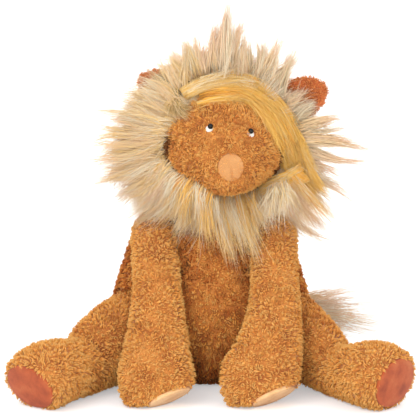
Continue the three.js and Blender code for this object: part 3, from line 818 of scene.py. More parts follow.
def sunk(points, side):
    """Draws an ear in towards its root."""
    apart = np.linalg.norm(points - head_middle, axis=1)
    root = points[apart < np.quantile(apart, EAR_ROOT_SHARE)].mean(axis=0)
    return root + (points - root) * EAR_SHARES[side]


def above_palm(points, side):
    """How far places lie beyond the flat of a palm."""
    anchor = centre_of(f"paw_pad_{side}") + array(PALM_SHIFTS[side])
    return (points - anchor) @ PALM_FACING


def palm_flat(points, side):
    over = np.maximum(above_palm(points, side), 0)
    return points - over[:, None] * PALM_FACING


covers = {
    "torso": cover("torso_skin", ["torso_cover", "torso_stuffing", "torso_pellet_bag"], "torso",
                   "torso", plush_backing),
    "head": cover("head_skin", ["head_cover", "head_stuffing"], "head", "head", plush_backing),
    "neck": cover("neck_skin", ["neck_stuffing"], "neck", "neck", plush_backing),
    "tail": cover("tail_skin", ["tail_core"], "tail", "tail", plush_backing),
}
for side in SIDES:
    for kind in ("arm", "leg"):
        limb = f"{kind}_{side}"
        shape = (lambda points: palm_flat(points, side)) if kind == "arm" else None
        covers[limb] = cover(f"{limb}_skin", [f"{limb}_cover", f"{limb}_stuffing"], kind, limb,
                             plush_backing, shape)
    for layer, backing in (("ear_back", plush_backing), ("ear_lining", rust_backing)):
        ear = f"{layer}_{side}"
        covers[ear] = cover(f"{ear}_skin", [ear], "ear", "head", backing,
                            lambda points: sunk(points, side))
trees = {name: tree_of(piece) for name, piece in covers.items()}


# Sewn pads and felt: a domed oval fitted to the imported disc

# How high each rises, how thick its rim is, and how deep a fold crosses it
PAD = {"dome": 0.0022, "rim": 0.0016, "crease": 0.0}
NOSE = {"dome": 0.0012, "rim": 0.0018, "crease": 0.0011}
EYE_DISC = {"dome": 0.0005, "rim": 0.0008, "crease": 0.0}
CREASE_WIDTH_SHARE = 0.1
PALM_GROWTH = 1.04
PALM_FLATNESS = 0.00015
DOME_RINGS = 14
DOME_SIDES = 72
# The white disc shows below the bead, and the pile keeps this far from its middle
DISC_SHIFT = (-0.0003, -0.0012, -0.0011)
EYE_CLEARANCE = 0.0042
BEAD_RADIUS = 0.0024
BEAD_RINGS = 12
BEAD_SIDES = 32
# Behind its dome a bead steps in to its shank: radius and place in radii of the bead
SHANK_SHARES = [(0.93, -1.2), (0.35, -1.3), (0.35, -2.2)]


def oval_frame(node):
    """The middle, the outward direction, and the two half axes of a packed disc."""
    points, _ = mesh_arrays(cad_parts[node].data)
    middle = (points.max(axis=0) + points.min(axis=0)) / 2
    centred = points - points.mean(axis=0)
    _, _, axes = np.linalg.svd(centred, full_matrices=False)
    spans = [np.ptp(centred @ axis) / 2 for axis in axes]
    return middle, axes, spans


def palm_seat(side):
    """An oval that fills the flat that palm_flat leaves on a paw."""
    points, _ = mesh_arrays(covers[f"arm_{side}"].data)
    flat = points[np.abs(above_palm(points, side)) < PALM_FLATNESS]
    _, _, axes = np.linalg.svd(flat - flat.mean(axis=0), full_matrices=False)
    middle = flat.mean(axis=0)
    spans = [np.ptp((flat - middle) @ axis) / 2 * PALM_GROWTH for axis in axes]
    for axis in axes[:2]:
        reach = (flat - middle) @ axis
        middle = middle + axis * (reach.max() + reach.min()) / 2
    return middle, axes, spans


def domed_oval(name, node, body, fabric, sizes, outward, shift=(0, 0, 0), seat=None):
    middle, (across, along, out), spans = seat or oval_frame(node)
    middle = middle + array(shift)
    across = across if across @ UP > 0 else -across
    out = out if out @ outward > 0 else -out
    dome, rim, crease = sizes["dome"], sizes["rim"], sizes["crease"]
    shares = [1.0, 1.0] + [math.cos(turn) for turn in np.linspace(0, math.pi / 2, DOME_RINGS)[1:-1]]
    heights = [-rim, rim / 2] + [rim / 2 + dome * math.sqrt(1 - share ** 2) for share in shares[2:]]
    points, triangles = [], []
    for share, height in zip(shares, heights):
        for s in range(DOME_SIDES):
            turn = FULL_TURN * s / DOME_SIDES
            fold = crease * math.exp(-(math.sin(turn) * share / CREASE_WIDTH_SHARE) ** 2) * (
                1 - math.cos(turn) * share) / 2
            points.append(middle + across * spans[0] * share * math.cos(turn)
                          + along * spans[1] * share * math.sin(turn) + out * (height - fold))
    points.append(middle + out * (rim / 2 + dome - crease))
    points.append(middle - out * rim)
    top, bottom = len(points) - 2, len(points) - 1
    last = (len(shares) - 1) * DOME_SIDES
    for s in range(DOME_SIDES):
        after = (s + 1) % DOME_SIDES
        for start in range(0, last, DOME_SIDES):
            a, b = start + s, start + after
            triangles += [(a, b, b + DOME_SIDES), (a, b + DOME_SIDES, a + DOME_SIDES)]
        triangles += [(last + s, last + after, top), (after, s, bottom)]
    points = array(points)
    points[:, 2] = np.maximum(points[:, 2], FLOOR_GAP)
    triangles = np.array(triangles)
    if np.cross(across, along) @ out < 0:
        triangles = triangles[:, ::-1]
    piece = mesh_object(name, points, triangles)
    dress(piece, fabric)
    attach(piece, body)
    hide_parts(node)
    return piece


def build_pads():
    """The soles are suede; the pale palms show as a sliver along the paws' lower edge."""
    for side in SIDES:
        sole = domed_oval(f"sole_patch_{side}", f"sole_pad_{side}", f"leg_{side}", terracotta, PAD,
                          FORWARD)
        palm = domed_oval(f"paw_patch_{side}", f"paw_pad_{side}", f"arm_{side}", pale_suede, PAD,
                          PALM_FACING, seat=palm_seat(side))


def build_face():
    forward = from_head(FORWARD) - head_middle
    nose = domed_oval("nose_patch", "nose", "head", felt, NOSE, forward)
    for side in SIDES:
        domed_oval(f"eye_disc_{side}", f"eye_white_{side}", "head", white_felt, EYE_DISC, forward,
                   shift=DISC_SHIFT)
        build_bead(side, forward)
        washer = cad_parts[f"eye_washer_{side}"]
        washer.data.materials.clear()
        washer.data.materials.append(washer_plastic)


def build_bead(side, forward):
    """A domed bead on its shank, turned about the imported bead's axis."""
    points, _ = mesh_arrays(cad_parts[f"eye_bead_{side}"].data)
    ahead = points @ forward
    front = points[ahead > ahead.max() - BEAD_RADIUS].mean(axis=0)
    tip = front + forward * (ahead.max() - front @ forward)
    profile = [(math.sin(turn), math.cos(turn) - 1)
               for turn in np.linspace(0, math.pi / 2, BEAD_RINGS)[1:]] + SHANK_SHARES
    across = unit(np.cross(forward, UP))
    over = np.cross(across, forward)
    turns = np.arange(BEAD_SIDES) * FULL_TURN / BEAD_SIDES
    verts = [tip]
    for radius, place in profile:
        for turn in turns:
            around = radius * (math.cos(turn) * across + math.sin(turn) * over)
            verts.append(tip + BEAD_RADIUS * (forward * place + around))
    verts.append(tip + BEAD_RADIUS * forward * profile[-1][1])
    faces = []
    last = 1 + (len(profile) - 1) * BEAD_SIDES
    for s in range(BEAD_SIDES):
        after = (s + 1) % BEAD_SIDES
        faces += [(0, 1 + s, 1 + after), (last + after, last + s, len(verts) - 1)]
        for start in range(1, last, BEAD_SIDES):
            a, b = start + s, start + after
            faces += [(a, a + BEAD_SIDES, b + BEAD_SIDES), (a, b + BEAD_SIDES, b)]
    piece = mesh_object(f"eye_dome_{side}", array(verts), np.array(faces))
    dress(piece, black_bead)
    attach(piece, "head")
    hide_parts(f"eye_bead_{side}")


# Short pile on every cover

DOWNWARD_STROKE = 0.55
FACE_STROKE = 0.4
FACE_STROKE_SHARES = (1.0, 0.2, 1.0)
FACE_PILE_SHARE = 1.06
SOLE_DEPTH = 0.006


def downward(places):
    return np.tile(-DOWNWARD_STROKE * UP, (len(places), 1))


def face_flow(places):
    """Pile on the face strokes away from the nose."""
    local = to_head(places)
    return unit(local * array(FACE_STROKE_SHARES) + 1e-6) * FACE_STROKE @ head_turn.T


def bare_face(places):
    """The bare part of the head, which the mane leaves free."""
    local = to_head(places)
    radius = np.hypot(local[:, 0], local[:, 2])
    edge = round_face(np.arctan2(local[:, 2], local[:, 0]), edge_radii)
    return (local[:, 1] < 0) & (radius < edge * FACE_PILE_SHARE)


def on_face(places):
    kept = bare_face(places) & ~in_jaw_shade(places)
    for side in SIDES:
        disc = centre_of(f"eye_white_{side}") + array(DISC_SHIFT)
        kept &= np.linalg.norm(places - disc, axis=1) > EYE_CLEARANCE
    return kept


def on_jaw_shade(places):
    return bare_face(places) & in_jaw_shade(places)


def off_palm(places, side):
    return above_palm(places, side) < -PALM_MARGIN


def off_sole(places, side):
    middle, axes, spans = oval_frame(f"sole_pad_{side}")
    across, along, out = ((places - middle) @ axis for axis in axes)
    inside = np.hypot(across / spans[0], along / spans[1]) < 1
    return ~(inside & (np.abs(out) < SOLE_DEPTH))


def build_pile():
    limbs = [f"{kind}_{side}" for side in SIDES for kind in ("arm", "leg")]
    pile("torso_pile", covers["torso"], "torso", shaded_pile, PILE, downward, torso_columns,
         under=[trees[name] for name in limbs])
    pile("head_pile", covers["head"], "head", plush_pile, FACE_PILE, face_flow, face_columns,
         keep=on_face)
    # Pile of painted shade along the jaw
    pile("jaw_shade_pile", covers["head"], "head", shaded_pile, FACE_PILE, face_flow, jaw_shade_columns,
         keep=on_jaw_shade)
    pile("tail_pile", covers["tail"], "tail", plush_pile, PILE, downward, pile_columns,
         under=[trees["torso"]])
    for name in limbs:
        kind, side = name.split("_")
        keep, columns_of = (off_palm, arm_columns) if kind == "arm" else (off_sole, leg_columns)
        pile(f"{name}_pile", covers[name], name, plush_pile, PILE, downward, columns_of,
             under=[trees["torso"]], keep=lambda places: keep(places, side))
    for side in SIDES:
        for ear in (f"ear_back_{side}", f"ear_lining_{side}"):
            pile(f"{ear}_pile", covers[ear], "head", rust_pile, EAR_PILE, np.zeros_like, rust_columns)


# Mane: locks of long hair, each a guide from its root to its tip

# Edge of the bare face in pixels of the photograph, from the lion's left cheek round its top
FACE_EDGE_PX = [
    (282, 158), (281, 144), (272, 124), (261, 111), (245, 101), (224, 98), (196, 102), (180, 115),
    (167, 138), (163, 153), (171, 168), (196, 182), (222, 194), (250, 189), (270, 176),
]
WHORL_PX = (177, 99)
# The reach of the longest hair from the middle of the head, and the share of it that shows in the
# photograph at turns round the face, in degrees
LOCK_REACH = 0.125
REACH_SHARES = [
    (-41, 0.95), (-34, 1.1), (-20, 1.07), (-12, 0.94), (-4, 0.88), (3, 1.08), (16, 0.9), (26, 0.79),
    (38, 0.66), (54, 0.82), (62, 0.80), (71, 0.71), (80, 0.70), (87, 0.82), (92, 0.95), (97, 0.84),
    (108, 0.72), (116, 0.72), (128, 0.66), (143, 0.57), (165, 0.74), (177, 0.86), (187, 0.86),
    (196, 0.89), (205, 0.95), (218, 0.92), (231, 0.82),
]
# Up to each turn in degrees, the parts of each family of colour
FAMILY_PARTS = [
    (-18, {"peach": 4, "pale": 2, "pinkish": 1, "golden": 2, "blond": 1}),
    (20, {"peach": 4, "pinkish": 3, "pale": 2, "grey": 2}),
    (60, {"pinkish": 3, "grey": 4, "pale": 2, "peach": 2}),
    (108, {"pinkish": 4, "peach": 3, "grey": 2, "pale": 2}),
    (150, {"peach": 3, "blond": 3, "pale": 2, "grey": 1}),
    (205, {"blond": 4, "peach": 4, "pale": 2}),
    (240, {"blond": 3, "pale": 3, "peach": 3, "golden": 1, "grey": 1}),
    (360, {"pale": 3, "grey": 2, "golden": 3, "blond": 2}),
]
WHORL_FAMILIES = {"dark": 5, "grey": 3, "blond": 2}
# How the strands of a lock lie: how many there are, how wide they spread at the root, how much
# they draw together and stray towards the tip, the shortest one's share, and how thin they are
LOCKS = {
    "hero": {"count": 44, "spread": 0.0062, "clump": 0.94, "frizz": 0.0024, "shortest": 0.62, "thin": 1.0},
    "row": {"count": 36, "spread": 0.0062, "clump": 0.8, "frizz": 0.0040, "shortest": 0.5, "thin": 1.0},
    "back": {"count": 40, "spread": 0.0075, "clump": 0.8, "frizz": 0.0035, "shortest": 0.5, "thin": 1.0},
    "band": {"count": 60, "spread": 0.0036, "clump": 0.5, "frizz": 0.0034, "shortest": 0.35, "thin": 1.0},
    "fringe": {"count": 54, "spread": 0.0066, "clump": 0.9, "frizz": 0.0045, "shortest": 0.55, "thin": 1.0},
    "spray": {"count": 18, "spread": 0.0060, "clump": 0.8, "frizz": 0.0050, "shortest": 0.5, "thin": 1.0},
    "swirl": {"count": 20, "spread": 0.0030, "clump": 0.6, "frizz": 0.0030, "shortest": 0.5, "thin": 1.0},
    "flyaway": {"count": 9, "spread": 0.0100, "clump": 0.3, "frizz": 0.0100, "shortest": 0.5, "thin": 0.62},
    "tuft": {"count": 17, "spread": 0.0080, "clump": 0.8, "frizz": 0.0035, "shortest": 0.5, "thin": 1.0},
}
GUIDE_STEPS = 24
GUIDE_ROUNDS = 4


def on_head(x_px, y_px):
    """The place of the head's cover that shows at a pixel, or the nearest to it."""
    start = photo_place(x_px, y_px, AHEAD_OF_HEAD)
    place, _, _, _ = trees["head"].ray_cast(Vector(start), VIEW_DIRECTION)
    if place is None:
        place, _, _, _ = trees["head"].find_nearest(Vector(photo_place(x_px, y_px, head_middle[1])))
    return array(place)


face_edge = to_head(array([on_head(x, y) for x, y in FACE_EDGE_PX]))
edge_turns = np.unwrap(np.arctan2(face_edge[:, 2], face_edge[:, 0])) % FULL_TURN
edge_radii = np.hypot(face_edge[:, 0], face_edge[:, 2])
edge_depths = face_edge[:, 1]
whorl = on_head(*WHORL_PX)


def round_face(turn, values):
    """A value given along the face's edge, at any turn."""
    order = np.argsort(edge_turns)
    return np.interp(turn % FULL_TURN, edge_turns[order], values[order], period=FULL_TURN)


# The mane's backing: a padded hood from the face's edge to the back of the head. Rings of it, as
# how far each stands out from the head's middle, and how far behind it
HOOD_RINGS = [
    (0.0615, -0.0150), (0.0665, -0.0020), (0.0690, 0.0140), (0.0670, 0.0330), (0.0590, 0.0510),
    (0.0420, 0.0650), (0.0200, 0.0725), (0.0040, 0.0745),
]
HOOD_DEPTH = HOOD_RINGS[-1][1]
# The rings that tuck inside the face's edge: share of its radius, and how far behind it
TUCK_RINGS = [(0.86, 0.010), (0.98, 0.001)]
EDGE_PUFF = 0.0035
EDGE_PUFF_AHEAD = 0.0007
HOOD_HEIGHT_SHARE = 0.92
HOOD_LOWEST = 0.1575
HOOD_SIDES = 96
HOOD_STEPS = 40
PROFILE_ROUNDS = 3
HOOD_ROUNDS = 5


def hood_profile(radius, depth):
    """The hood's section at one turn: how far out and how far back at each step."""
    full = radius + EDGE_PUFF
    route = [(radius * share, depth + behind) for share, behind in TUCK_RINGS]
    route.append((full, depth - EDGE_PUFF_AHEAD))
    for out, back in HOOD_RINGS:
        least = full * math.cos(max(0.0, back / HOOD_DEPTH) * math.pi / 2)
        route.append((max(out, least), back))
    return eased(along_route(array(route), np.linspace(0, 1, HOOD_STEPS)), PROFILE_ROUNDS)


def build_hood():
    turns = np.linspace(0, FULL_TURN, HOOD_SIDES, endpoint=False)
    columns = []
    for turn, radius, depth in zip(turns, round_face(turns, edge_radii), round_face(turns, edge_depths)):
        out, back = hood_profile(radius, depth).T
        columns.append(np.stack([math.cos(turn) * out, back,
                                 math.sin(turn) * out * HOOD_HEIGHT_SHARE], axis=1))
    grid = np.stack(columns)
    for _ in range(HOOD_ROUNDS):
        grid = (np.roll(grid, 1, axis=0) + 2 * grid + np.roll(grid, -1, axis=0)) / 4
    points = from_head(grid.reshape(-1, 3))
    points[:, 2] = np.maximum(points[:, 2], HOOD_LOWEST)
    front, back = len(points), len(points) + 1
    sides, caps = [], []
    for side in range(HOOD_SIDES):
        a, b = side * HOOD_STEPS, (side + 1) % HOOD_SIDES * HOOD_STEPS
        for step in range(HOOD_STEPS - 1):
            sides += [(a + step, b + step + 1, b + step), (a + step, a + step + 1, b + step + 1)]
        caps += [(a, b, front), (a + HOOD_STEPS - 1, back, b + HOOD_STEPS - 1)]
    points = np.vstack([points, points[::HOOD_STEPS].mean(axis=0),
                        points[HOOD_STEPS - 1::HOOD_STEPS].mean(axis=0)])
    piece = mesh_object("mane_hood", points, np.array(sides + caps))
    dress(piece, mane_backing)
    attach(piece, "head")
    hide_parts("mane")
    return tree_of(piece), points[:front].reshape(HOOD_SIDES, HOOD_STEPS, 3)


trees["hood"], hood_grid = build_hood()


def scalp(turn, share):
    """A place on the hood and its normal: turn round the face, share from its edge to the back."""
    side = (turn % FULL_TURN) / FULL_TURN * HOOD_SIDES
    step = share * (HOOD_STEPS - 1)
    low_side, low_step = int(side) % HOOD_SIDES, min(int(step), HOOD_STEPS - 2)
    next_side = (low_side + 1) % HOOD_SIDES
    u, v = side - int(side), step - low_step
    near = hood_grid[low_side, low_step] * (1 - u) + hood_grid[next_side, low_step] * u
    far = hood_grid[low_side, low_step + 1] * (1 - u) + hood_grid[next_side, low_step + 1] * u
    place = near * (1 - v) + far * v
    _, normal, _, _ = trees["hood"].find_nearest(Vector(place))
    normal = array(normal)
    return place, normal if normal @ (place - head_middle) > 0 else -normal


def on_surface(x_px, y_px):
    """The place of the head or its hood that shows at a pixel, or the nearest of the hood."""
    start = Vector(photo_place(x_px, y_px, AHEAD_OF_HEAD))
    hits = [trees[name].ray_cast(start, VIEW_DIRECTION) for name in ("head", "hood")]
    hits = [(distance, place) for place, _, _, distance in hits if place is not None]
    if hits:
        return array(min(hits, key=lambda hit: hit[0])[1])
    nearest, _, _, _ = trees["hood"].find_nearest(Vector(photo_place(x_px, y_px, head_middle[1])))
    return photo_place(x_px, y_px, nearest[1])


def bezier(root, control, tip):
    t = np.linspace(0, 1, GUIDE_STEPS)[:, None]
    return (1 - t) ** 2 * root + 2 * t * (1 - t) * control + t ** 2 * tip


def through(points):
    """A smooth guide through a few points."""
    return eased(along_route(array(points), np.linspace(0, 1, GUIDE_STEPS)), GUIDE_ROUNDS)


def lock(style, guide, families):
    return {"guide": guide, "families": families, **LOCKS[style]}


def family_mix(degrees):
    return next(parts for limit, parts in FAMILY_PARTS if degrees <= limit)


LOCK_BEND = 0.13


def bend(root, tip):
    """How far a lock bows aside between its ends."""
    aside = np.cross(tip - root, head_turn @ -FORWARD)
    return aside * rng.normal() * LOCK_BEND


# Long locks: where they start as shares of the way over the hood, the next share to try where a
# band lies, how they fan at root and tip, the spread of their reach, and how they arch
HERO_SHARES = (0.14, 0.2, 0.27, 0.34)
HERO_STEP_SHARE = 0.04
HERO_FAN = 0.11
HERO_TIP_FAN = 0.35
HERO_LENGTHS = (0.82, 1.07)
HERO_DEPTH = 0.009
HERO_ARCH = 0.004
HERO_LIFT = 0.003


def hero_locks():
    """The long locks whose tips make the outline."""
    locks = []
    for degrees, share in REACH_SHARES:
        for hood_share in HERO_SHARES:
            turn = math.radians(degrees)
            start = turn + rng.normal() * HERO_FAN
            root, normal = scalp(start, hood_share)
            while under_band(root):
                hood_share += HERO_STEP_SHARE
                root, normal = scalp(start, hood_share)
            reach = LOCK_REACH * share * rng.uniform(*HERO_LENGTHS)
            fanned = turn + rng.normal() * HERO_FAN * HERO_TIP_FAN
            tip = from_head([math.cos(fanned) * reach, HERO_DEPTH, math.sin(fanned) * reach])
            control = (root + tip) / 2 + normal * HERO_ARCH + UP * HERO_LIFT + bend(root, tip)
            locks.append(lock("hero", bezier(root, control, tip), family_mix(math.degrees(turn))))
    return locks


# Rows of locks from the edge of the face to the back of the head: where they start, as a share of
# the way over the hood, how many, the reach of the tips and how far behind the head they end
ROWS = [
    {"share": 0.05, "count": 90, "reach_share": 0.62, "depth": -0.022},
    {"share": 0.10, "count": 84, "reach_share": 0.67, "depth": -0.016},
    {"share": 0.16, "count": 80, "reach_share": 0.71, "depth": -0.009},
    {"share": 0.23, "count": 76, "reach_share": 0.74, "depth": 0.000},
    {"share": 0.32, "count": 66, "reach_share": 0.75, "depth": 0.012},
    {"share": 0.42, "count": 56, "reach_share": 0.74, "depth": 0.026},
    {"share": 0.53, "count": 46, "reach_share": 0.70, "depth": 0.044},
    {"share": 0.65, "count": 36, "reach_share": 0.60, "depth": 0.066},
]
ROW_PLACES = (0.1, 0.9)
ROW_STRAY_SHARE = 0.015
ROW_FAN = 0.03
ROW_LENGTHS = (0.82, 1.08)
ROW_DEPTH_STRAY = 0.005
ROW_SHORTEST = 0.026
ROW_NORMAL_SHARE = 0.4
ROW_ARCH_SHARE = 0.45
# Hair sags at the sides, and more the farther back it ends
SIDE_SAG = 0.010
BACK_SAG_SHARE = 0.35
# The tips of every row draw together: how much, and reach shares of the lesser gathering places
TIP_PULL = 0.6
LESSER_TIPS = 34
LESSER_REACH_SHARES = (0.68, 0.8)
LEAD_LENGTHS = (0.7, 0.98)
FULL_REACH_SHARE = 0.75
# Near the whorl the hair turns away from it
WHORL_REACH = 0.017
WHORL_PULL = 0.5
# Turns beyond this one count back from the first
LAST_TURN = 300
# The rows nearest the face are greyer at its top and right
INNER_SHARE = 0.2
INNER_TURNS = (-25, 125)
INNER_FAMILIES = {"grey": 5, "pale": 3, "dark": 1, "pinkish": 2}


def gathering_tips():
    """Turns and reach shares that the locks of every row draw together towards."""
    lesser = rng.uniform(0, 360, LESSER_TIPS)
    turns = np.concatenate([[turn % 360 for turn, _ in REACH_SHARES], lesser])
    shares = np.concatenate([[share for _, share in REACH_SHARES],
                             rng.uniform(*LESSER_REACH_SHARES, LESSER_TIPS)])
    return np.radians(turns), shares


def row_locks():
    tip_turns, tip_shares = gathering_tips()
    locks = []
    for row in ROWS:
        for i in range(row["count"]):
            turn = FULL_TURN * (i + rng.uniform(*ROW_PLACES)) / row["count"]
            root, normal = scalp(turn, row["share"] + rng.normal() * ROW_STRAY_SHARE)
            if under_band(root):
                continue
            apart = (tip_turns - turn + math.pi) % FULL_TURN - math.pi
            nearest = np.argmin(np.abs(apart))
            fanned = turn + apart[nearest] * TIP_PULL + rng.normal() * ROW_FAN
            lead = tip_shares[nearest] * rng.uniform(*LEAD_LENGTHS) * (
                row["reach_share"] / FULL_REACH_SHARE)
            reach = LOCK_REACH * max(row["reach_share"] * rng.uniform(*ROW_LENGTHS), lead)
            tip = from_head([math.cos(fanned) * reach, row["depth"] + rng.normal() * ROW_DEPTH_STRAY,
                             math.sin(fanned) * reach])
            tip[2] -= SIDE_SAG * abs(math.cos(turn)) + BACK_SAG_SHARE * max(0.0, row["depth"])
            length = max(np.linalg.norm(tip - root), ROW_SHORTEST)
            away = root - whorl
            pull = math.exp(-(np.linalg.norm(away) / WHORL_REACH) ** 2)
            aim = unit(unit(tip - root) * (1 - pull) + unit(away) * pull)
            tip = root + aim * length
            rising = normal * ROW_NORMAL_SHARE + aim * (1 - ROW_NORMAL_SHARE)
            control = root + rising * length * ROW_ARCH_SHARE + bend(root, tip)
            degrees = math.degrees(turn)
            degrees = degrees - 360 if degrees > LAST_TURN else degrees
            families = family_mix(degrees)
            if row["share"] < INNER_SHARE and INNER_TURNS[0] < degrees < INNER_TURNS[1]:
                families = INNER_FAMILIES
            if pull > WHORL_PULL:
                families = WHORL_FAMILIES
            locks.append(lock("row", bezier(root, control, tip), families))
    return locks


# Rows over the back of the head, whose hair hangs down: where they start, and how many locks
BACK_ROWS = [(0.60, 34), (0.68, 32), (0.76, 28), (0.84, 22), (0.91, 15), (0.97, 8)]
BACK_STRAY_SHARE = 0.012
BACK_FAN = 0.45
BACK_STRAY = 0.12
BACK_LENGTH = 0.030
BACK_LENGTHS = (0.8, 1.15)
BACK_LIFT = 0.004
BACK_ARCH = 0.0056
BACK_ARCH_SHARE = 0.4
BACK_FAMILIES = {"peach": 3, "blond": 3, "pale": 3, "grey": 1}


def back_locks():
    """Hair that hangs over the back of the head."""
    locks = []
    for share, count in BACK_ROWS:
        for i in range(count):
            turn = FULL_TURN * (i + rng.uniform(*ROW_PLACES)) / count
            root, normal = scalp(turn, share + rng.normal() * BACK_STRAY_SHARE)
            aim = unit(BACK_FAN * unit(root - head_middle) - UP + BACK_STRAY * rng.normal(size=3))
            aim = unit(aim - normal * min(0.0, aim @ normal))
            length = BACK_LENGTH * rng.uniform(*BACK_LENGTHS)
            tip = root + aim * length + normal * BACK_LIFT
            control = root + aim * length * BACK_ARCH_SHARE + normal * BACK_ARCH + bend(root, tip)
            locks.append(lock("back", bezier(root, control, tip), BACK_FAMILIES))
    return locks


# Strands that lie round the face: pixels along the middle of each band, its half width in pixels,
# its colours, how long a strand is as a share of the band, how many guides it has, and how far
# it stands off beyond the lift of all bands. The first one covers the hood below it
BANDS = [
    {"route_px": [(198, 94), (210, 90), (226, 88), (241, 88), (256, 95), (269, 107), (280, 123),
                  (288, 141), (295, 160), (303, 178), (314, 198)],
     "half_px": 12, "families": {"golden": 7, "amber": 1, "blond": 1}, "strand_share": 0.34,
     "guides": 120, "lift": 0.0},
    {"route_px": [(184, 95), (192, 90), (206, 84), (224, 79), (242, 79), (258, 85)],
     "half_px": 4.5, "families": {"pale": 3, "blond": 4, "golden": 1}, "strand_share": 0.6,
     "guides": 26, "lift": 0.0},
    {"route_px": [(304, 172), (290, 179), (277, 185), (262, 192)],
     "half_px": 7, "families": {"golden": 4, "blond": 2, "pale": 1}, "strand_share": 0.8,
     "guides": 26, "lift": 0.009},
]
COVERING_BAND = BANDS[0]
BAND_STATIONS = 9
BAND_LIFT = (0.004, 0.013)
BAND_MARGIN_PX = 3.5
BAND_START_SHARE = -0.04
BAND_STRAND_INSIDE = 0.7
BAND_DRIFT_PX = 4
BAND_DRIFT_POWER = 1.5


def under_band(place):
    """True where a band covers a place of the hood, so that no other lock starts there."""
    if place[1] > head_middle[1]:
        return False
    shown = to_pixels(place[None])[0]
    line = along_route(array(COVERING_BAND["route_px"]), np.linspace(0, 1, GUIDE_STEPS))
    return np.hypot(*(line - shown).T).min() < COVERING_BAND["half_px"] + BAND_MARGIN_PX


def band_locks(band):
    locks = []
    route = array(band["route_px"])
    shares = np.linspace(0, 1, BAND_STATIONS)
    for _ in range(band["guides"]):
        start = rng.uniform(BAND_START_SHARE, 1 - BAND_STRAND_INSIDE * band["strand_share"])
        at = np.clip(np.linspace(start, start + band["strand_share"], BAND_STATIONS), 0, 1)
        centre = along_route(route, at)
        along = unit(centre[-1] - centre[0])
        across = array([along[1], -along[0]])
        aside = rng.uniform(-1, 1) * band["half_px"]
        drift = shares ** BAND_DRIFT_POWER * rng.normal() * BAND_DRIFT_PX
        places = centre + across * (aside + drift)[:, None]
        lift = np.linspace(BAND_LIFT[0], rng.uniform(*BAND_LIFT), BAND_STATIONS) + band["lift"]
        guide = through([on_surface(x, y) + TOWARDS_CAMERA * up for (x, y), up in zip(places, lift)])
        locks.append(lock("band", guide, band["families"]))
    return locks


# Fringe: locks that hang from under the chin over the chest and shoulders. Pixels of the
# photograph: where each root lies on the face's edge, where its tip shows, and its colours
LOW_PALE = {"pale": 4, "grey": 1, "blond": 3, "golden": 2}
LOW_GOLD = {"golden": 5, "blond": 3, "pale": 2, "amber": 1}
LOW_PEACH = {"peach": 4, "pale": 2, "pinkish": 1, "blond": 2, "golden": 1}
LOW_GREY = {"grey": 3, "pale": 2, "blond": 2}
FRINGE_PX = [
    (166, 160, 131, 204, LOW_PEACH), (169, 165, 141, 210, LOW_PALE), (173, 169, 151, 214, LOW_PEACH),
    (178, 173, 158, 214, LOW_PALE), (183, 175, 168, 223, LOW_GOLD), (188, 178, 178, 218, LOW_PALE),
    (193, 180, 187, 232, LOW_GOLD), (198, 183, 196, 226, LOW_PALE), (203, 185, 204, 240, LOW_GOLD),
    (208, 188, 214, 254, LOW_GOLD), (213, 190, 220, 238, LOW_PALE), (218, 192, 228, 258, LOW_GOLD),
    (223, 193, 238, 268, LOW_GOLD), (229, 193, 243, 250, LOW_PALE), (236, 192, 249, 272, LOW_GOLD),
    (242, 191, 260, 268, LOW_GOLD), (248, 190, 263, 248, LOW_GOLD), (254, 187, 266, 238, LOW_PALE),
    (260, 184, 272, 230, LOW_PALE), (266, 182, 280, 226, LOW_PEACH), (272, 180, 290, 222, LOW_PEACH),
    (277, 178, 302, 232, LOW_PEACH), (281, 174, 316, 240, LOW_PEACH), (285, 170, 332, 242, LOW_PEACH),
    (287, 165, 340, 228, LOW_GOLD),
]
# Share of the full reach, how much it varies, and how far the tips stand ahead of the chest
FRINGE_LAYERS = [
    (0.97, 0.05, -0.052), (0.88, 0.08, -0.056), (0.74, 0.10, -0.060), (0.6, 0.10, -0.060),
    (0.45, 0.08, -0.058),
]
FRINGE_ROOT_DROP_PX = 1
FRINGE_ROOT_STRAY_PX = 2
FRINGE_TIP_STRAY_PX = (4, 3)
FRINGE_MIDDLE_PX = 232
# Away from its middle the fringe lies farther back: by so much for each pixel
FRINGE_RETREAT = 0.00024
FRINGE_SWEEP_PX = 7
FRINGE_SWEEPS = (0.2, 1.4)
FRINGE_ARCH = (0.0, -0.010, 0.005)
HANGING_ARCH_SHARE = 0.4
# A second whorl at the lower right of the face, whose hair fans down
SPRAY_ROOT_PX = (278, 188)
SPRAY_TIPS_PX = [(258, 220), (264, 228), (270, 232), (277, 232), (285, 229), (293, 222), (300, 214)]
SPRAY_LAYER_SHARES = (1.0, 0.75)
SPRAY_ROOT_SHARE = 0.35
SPRAY_ROOT_STRAY_PX = 3
SPRAY_ROOT_DEPTH = -0.044
SPRAY_TIP_DEPTH = -0.060
SPRAY_ARCH = (0.0, -0.004, 0.004)


